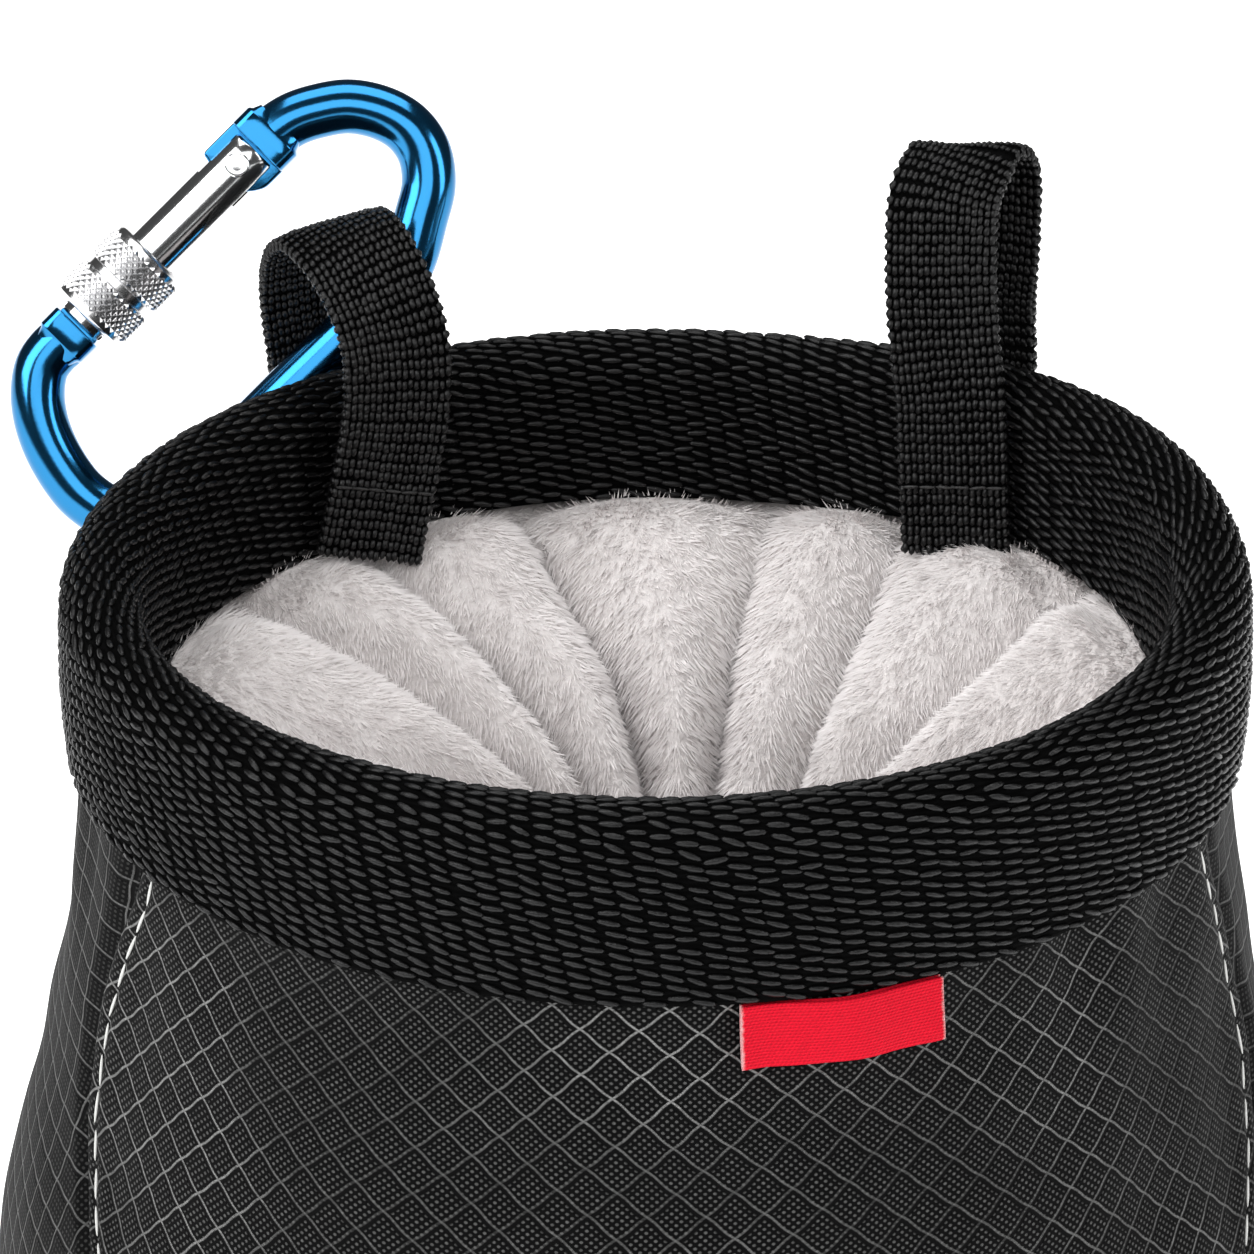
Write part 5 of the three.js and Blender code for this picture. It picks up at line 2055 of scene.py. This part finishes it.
    def _gate_tube(self) -> Skin:
        """The gate's tube, with the wall cut away at both ends for the tangs."""
        outer, inner = self.gate / 2, self.bore / 2
        hinge_slot = self.pivot - outer - 2 * self.gap
        nose_end = self.gate_low + self.nose_slot
        lines = np.concatenate([
            [self.gate_low, self.gate_low + 0.25], np.linspace(nose_end, hinge_slot, 12),
            np.linspace(hinge_slot, self.gate_high - 0.3, 6)[1:], [self.gate_high],
        ])
        radii = outer - np.where((lines == lines[0]) | (lines == lines[-1]), 0.2, 0.0)
        half = math.asin(self.slot / 2 / outer)
        quarter = np.concatenate([
            np.linspace(-half, half, 6)[:-1], np.linspace(half, math.pi - half, 30)[:-1],
        ])
        angles = np.concatenate([quarter, quarter + math.pi])
        spans = len(angles)
        middle = (angles + np.roll(angles, -1)) / 2
        middle[-1] = angles[-1] + (FULL_TURN - half - angles[-1]) / 2
        open_side = np.abs(np.sin(middle)) * outer < self.slot / 2
        points = np.stack([
            np.stack(np.broadcast_arrays(
                lines[:, None],
                self.width + r[:, None] * np.cos(angles),
                r[:, None] * np.sin(angles),
            ), -1)
            for r in (radii, np.full(len(lines), inner))
        ])
        count = len(lines)
        solid = np.ones((count - 1, spans), bool)
        middles = (lines[1:] + lines[:-1]) / 2
        cut = (middles < nose_end) | (middles > hinge_slot)
        solid[np.ix_(cut, open_side)] = False

        def at(layer: int, line: int, side: int) -> int:
            """Number of a point."""
            return (layer * count + line) * spans + side % spans

        faces = []
        for line in range(count - 1):
            for side in range(spans):
                if not solid[line, side]:
                    continue
                a, b = (line, side), (line, side + 1)
                c, d = (line + 1, side + 1), (line + 1, side)
                faces.append([at(0, *a), at(0, *b), at(0, *c), at(0, *d)])
                faces.append([at(1, *d), at(1, *c), at(1, *b), at(1, *a)])
                for (dl, ds), (p, q) in (
                    ((-1, 0), (b, a)), ((1, 0), (d, c)), ((0, -1), (a, d)), ((0, 1), (c, b)),
                ):
                    near, beside = line + dl, (side + ds) % spans
                    if 0 <= near < count - 1 and solid[near, beside]:
                        continue
                    faces.append([at(0, *p), at(0, *q), at(1, *q), at(1, *p)])
        used = sorted({index for face in faces for index in face})
        number = {old: new for new, old in enumerate(used)}
        flat = points.reshape(-1, 3)[used]
        return Skin(flat, [[number[index] for index in face] for face in faces]).facing_out()

    def _gate(self) -> None:
        """The gate and the rivet that it turns on."""
        steel = MetalFinish("gate_steel", (0.78, 0.79, 0.8), 0.12, grain=0.05).material()
        tube_object = self._placed(self._gate_tube()).object("gate_tube", steel)
        for face in tube_object.data.polygons:
            face.use_smooth = True
        tube_object.data.set_sharp_from_angle(angle=SHARP)
        settle(tube_object, Body.GATE, Slot.POLISHED_STEEL, "carabiner_gate")
        inner = self.gate / 2 + self.gap
        top, radius = inner + self.rivet_height, self.rivet_head / 2
        half = [
            (0.0, self.rivet_pin / 2), (inner, self.rivet_pin / 2), (inner, radius),
            (top - 0.15, radius), (top - 0.04, radius - 0.1), (top, radius - 0.22),
            (top - 0.02, 0.82), (top - 0.12, 0.76), (top - 0.12, 0.66), (top + 0.0, 0.6),
            (top + 0.03, 0.3), (top + 0.04, 0.02),
        ]
        outline = [(-along, r) for along, r in half[:0:-1]] + half
        angles = circle(self.rivet_sides)
        sections = np.array([
            np.stack([
                self.pivot + r * np.cos(angles),
                self.width + r * np.sin(angles),
                np.full(self.rivet_sides, along),
            ], 1)
            for along, r in outline
        ])
        rivet = self._placed(tube(sections)).object("gate_rivet_head", steel)
        rivet.data.set_sharp_from_angle(angle=SHARP)
        settle(rivet, Body.GATE, Slot.POLISHED_STEEL, "gate_rivet")

    def _sleeve(self) -> None:
        """The sleeve and its knurled bands."""
        inner, outer = self.gate / 2 + self.gap, self.sleeve / 2
        floor = outer - self.knurl_depth
        bottom = outer - self.groove_depth
        half = self.sleeve_length / 2
        edge, bare = 0.6, 0.75 * self.groove
        outline = [
            (-half + 0.15, inner), (-half, inner + 0.2), (-half, floor - 0.5),
            (-half + 0.12, floor - 0.22), (-half + 0.4, floor),
            (-0.6 * self.groove, floor), (-0.4 * self.groove, bottom),
            (0.4 * self.groove, bottom), (0.6 * self.groove, floor),
            (half - 0.4, floor), (half - 0.12, floor - 0.22),
            (half, floor - 0.5), (half, inner + 0.2), (half - 0.15, inner),
        ]
        steel = MetalFinish("sleeve_steel", (0.72, 0.72, 0.73), 0.17, grain=0.06).material()
        middle = self.nose_face + self.nose_inset + half
        shift = np.array([middle, self.width, 0.0])
        ring = turned(outline, self.sleeve_sides).placed(np.eye(3), shift)
        made = self._placed(ring).object("sleeve_ring", steel)
        made.data.set_sharp_from_angle(angle=math.radians(30))
        settle(made, Body.SLEEVE, Slot.POLISHED_STEEL, "gate_sleeve")
        rows = int((half - edge - bare - self.knurl_pitch / 2) / (self.knurl_pitch / 2)) + 1
        layouts = []
        for side in (-1, 1):
            for row in range(rows):
                along = side * (bare + (row + 0.5) * self.knurl_pitch / 2)
                place = np.arange(self.knurl_around) + 0.5 * (row % 2)
                turn = place * 2 * math.pi / self.knurl_around
                out = np.stack([np.zeros_like(turn), np.cos(turn), np.sin(turn)], 1)
                points = out * (floor - 0.03) + [along, 0, 0] + shift
                axis = np.broadcast_to([1.0, 0.0, 0.0], out.shape)
                layouts.append(Layout(
                    points @ self.axes.T + self.seat, axis @ self.axes.T, out @ self.axes.T,
                    np.zeros(len(turn)),
                ))
        around = 2 * math.pi * outer / self.knurl_around
        layer = GrainLayer(
            Grain.STUD, self.knurl_pitch, around, self.knurl_depth, sides=4, blunt=0.13,
        )
        knurl = layer.lay(Layout.joined(layouts), "sleeve_knurl", steel)
        settle(knurl, Body.SLEEVE, Slot.POLISHED_STEEL)

    def build(self) -> None:
        """Makes the body, the gate and the sleeve."""
        self._body()
        self._gate()
        self._sleeve()


def main() -> None:
    """Builds the studio and every sub-assembly in order."""
    logging.basicConfig(level=logging.INFO, format="%(name)s: %(message)s")
    studio = Studio()
    studio.camera()
    studio.build()
    rim = RimShape()
    shell = Shell(rim)
    ClothBody(shell).build()
    Label(shell).build()
    Rim(rim).build()
    Collar(rim).build()
    Loop("loop_right", RIGHT_ROWS, 25.0, 1, rim).build()
    Loop("loop_left", LEFT_ROWS, 15.6, -1, rim).build()
    Carabiner(rim).build()


if __name__ == "__main__":
    main()
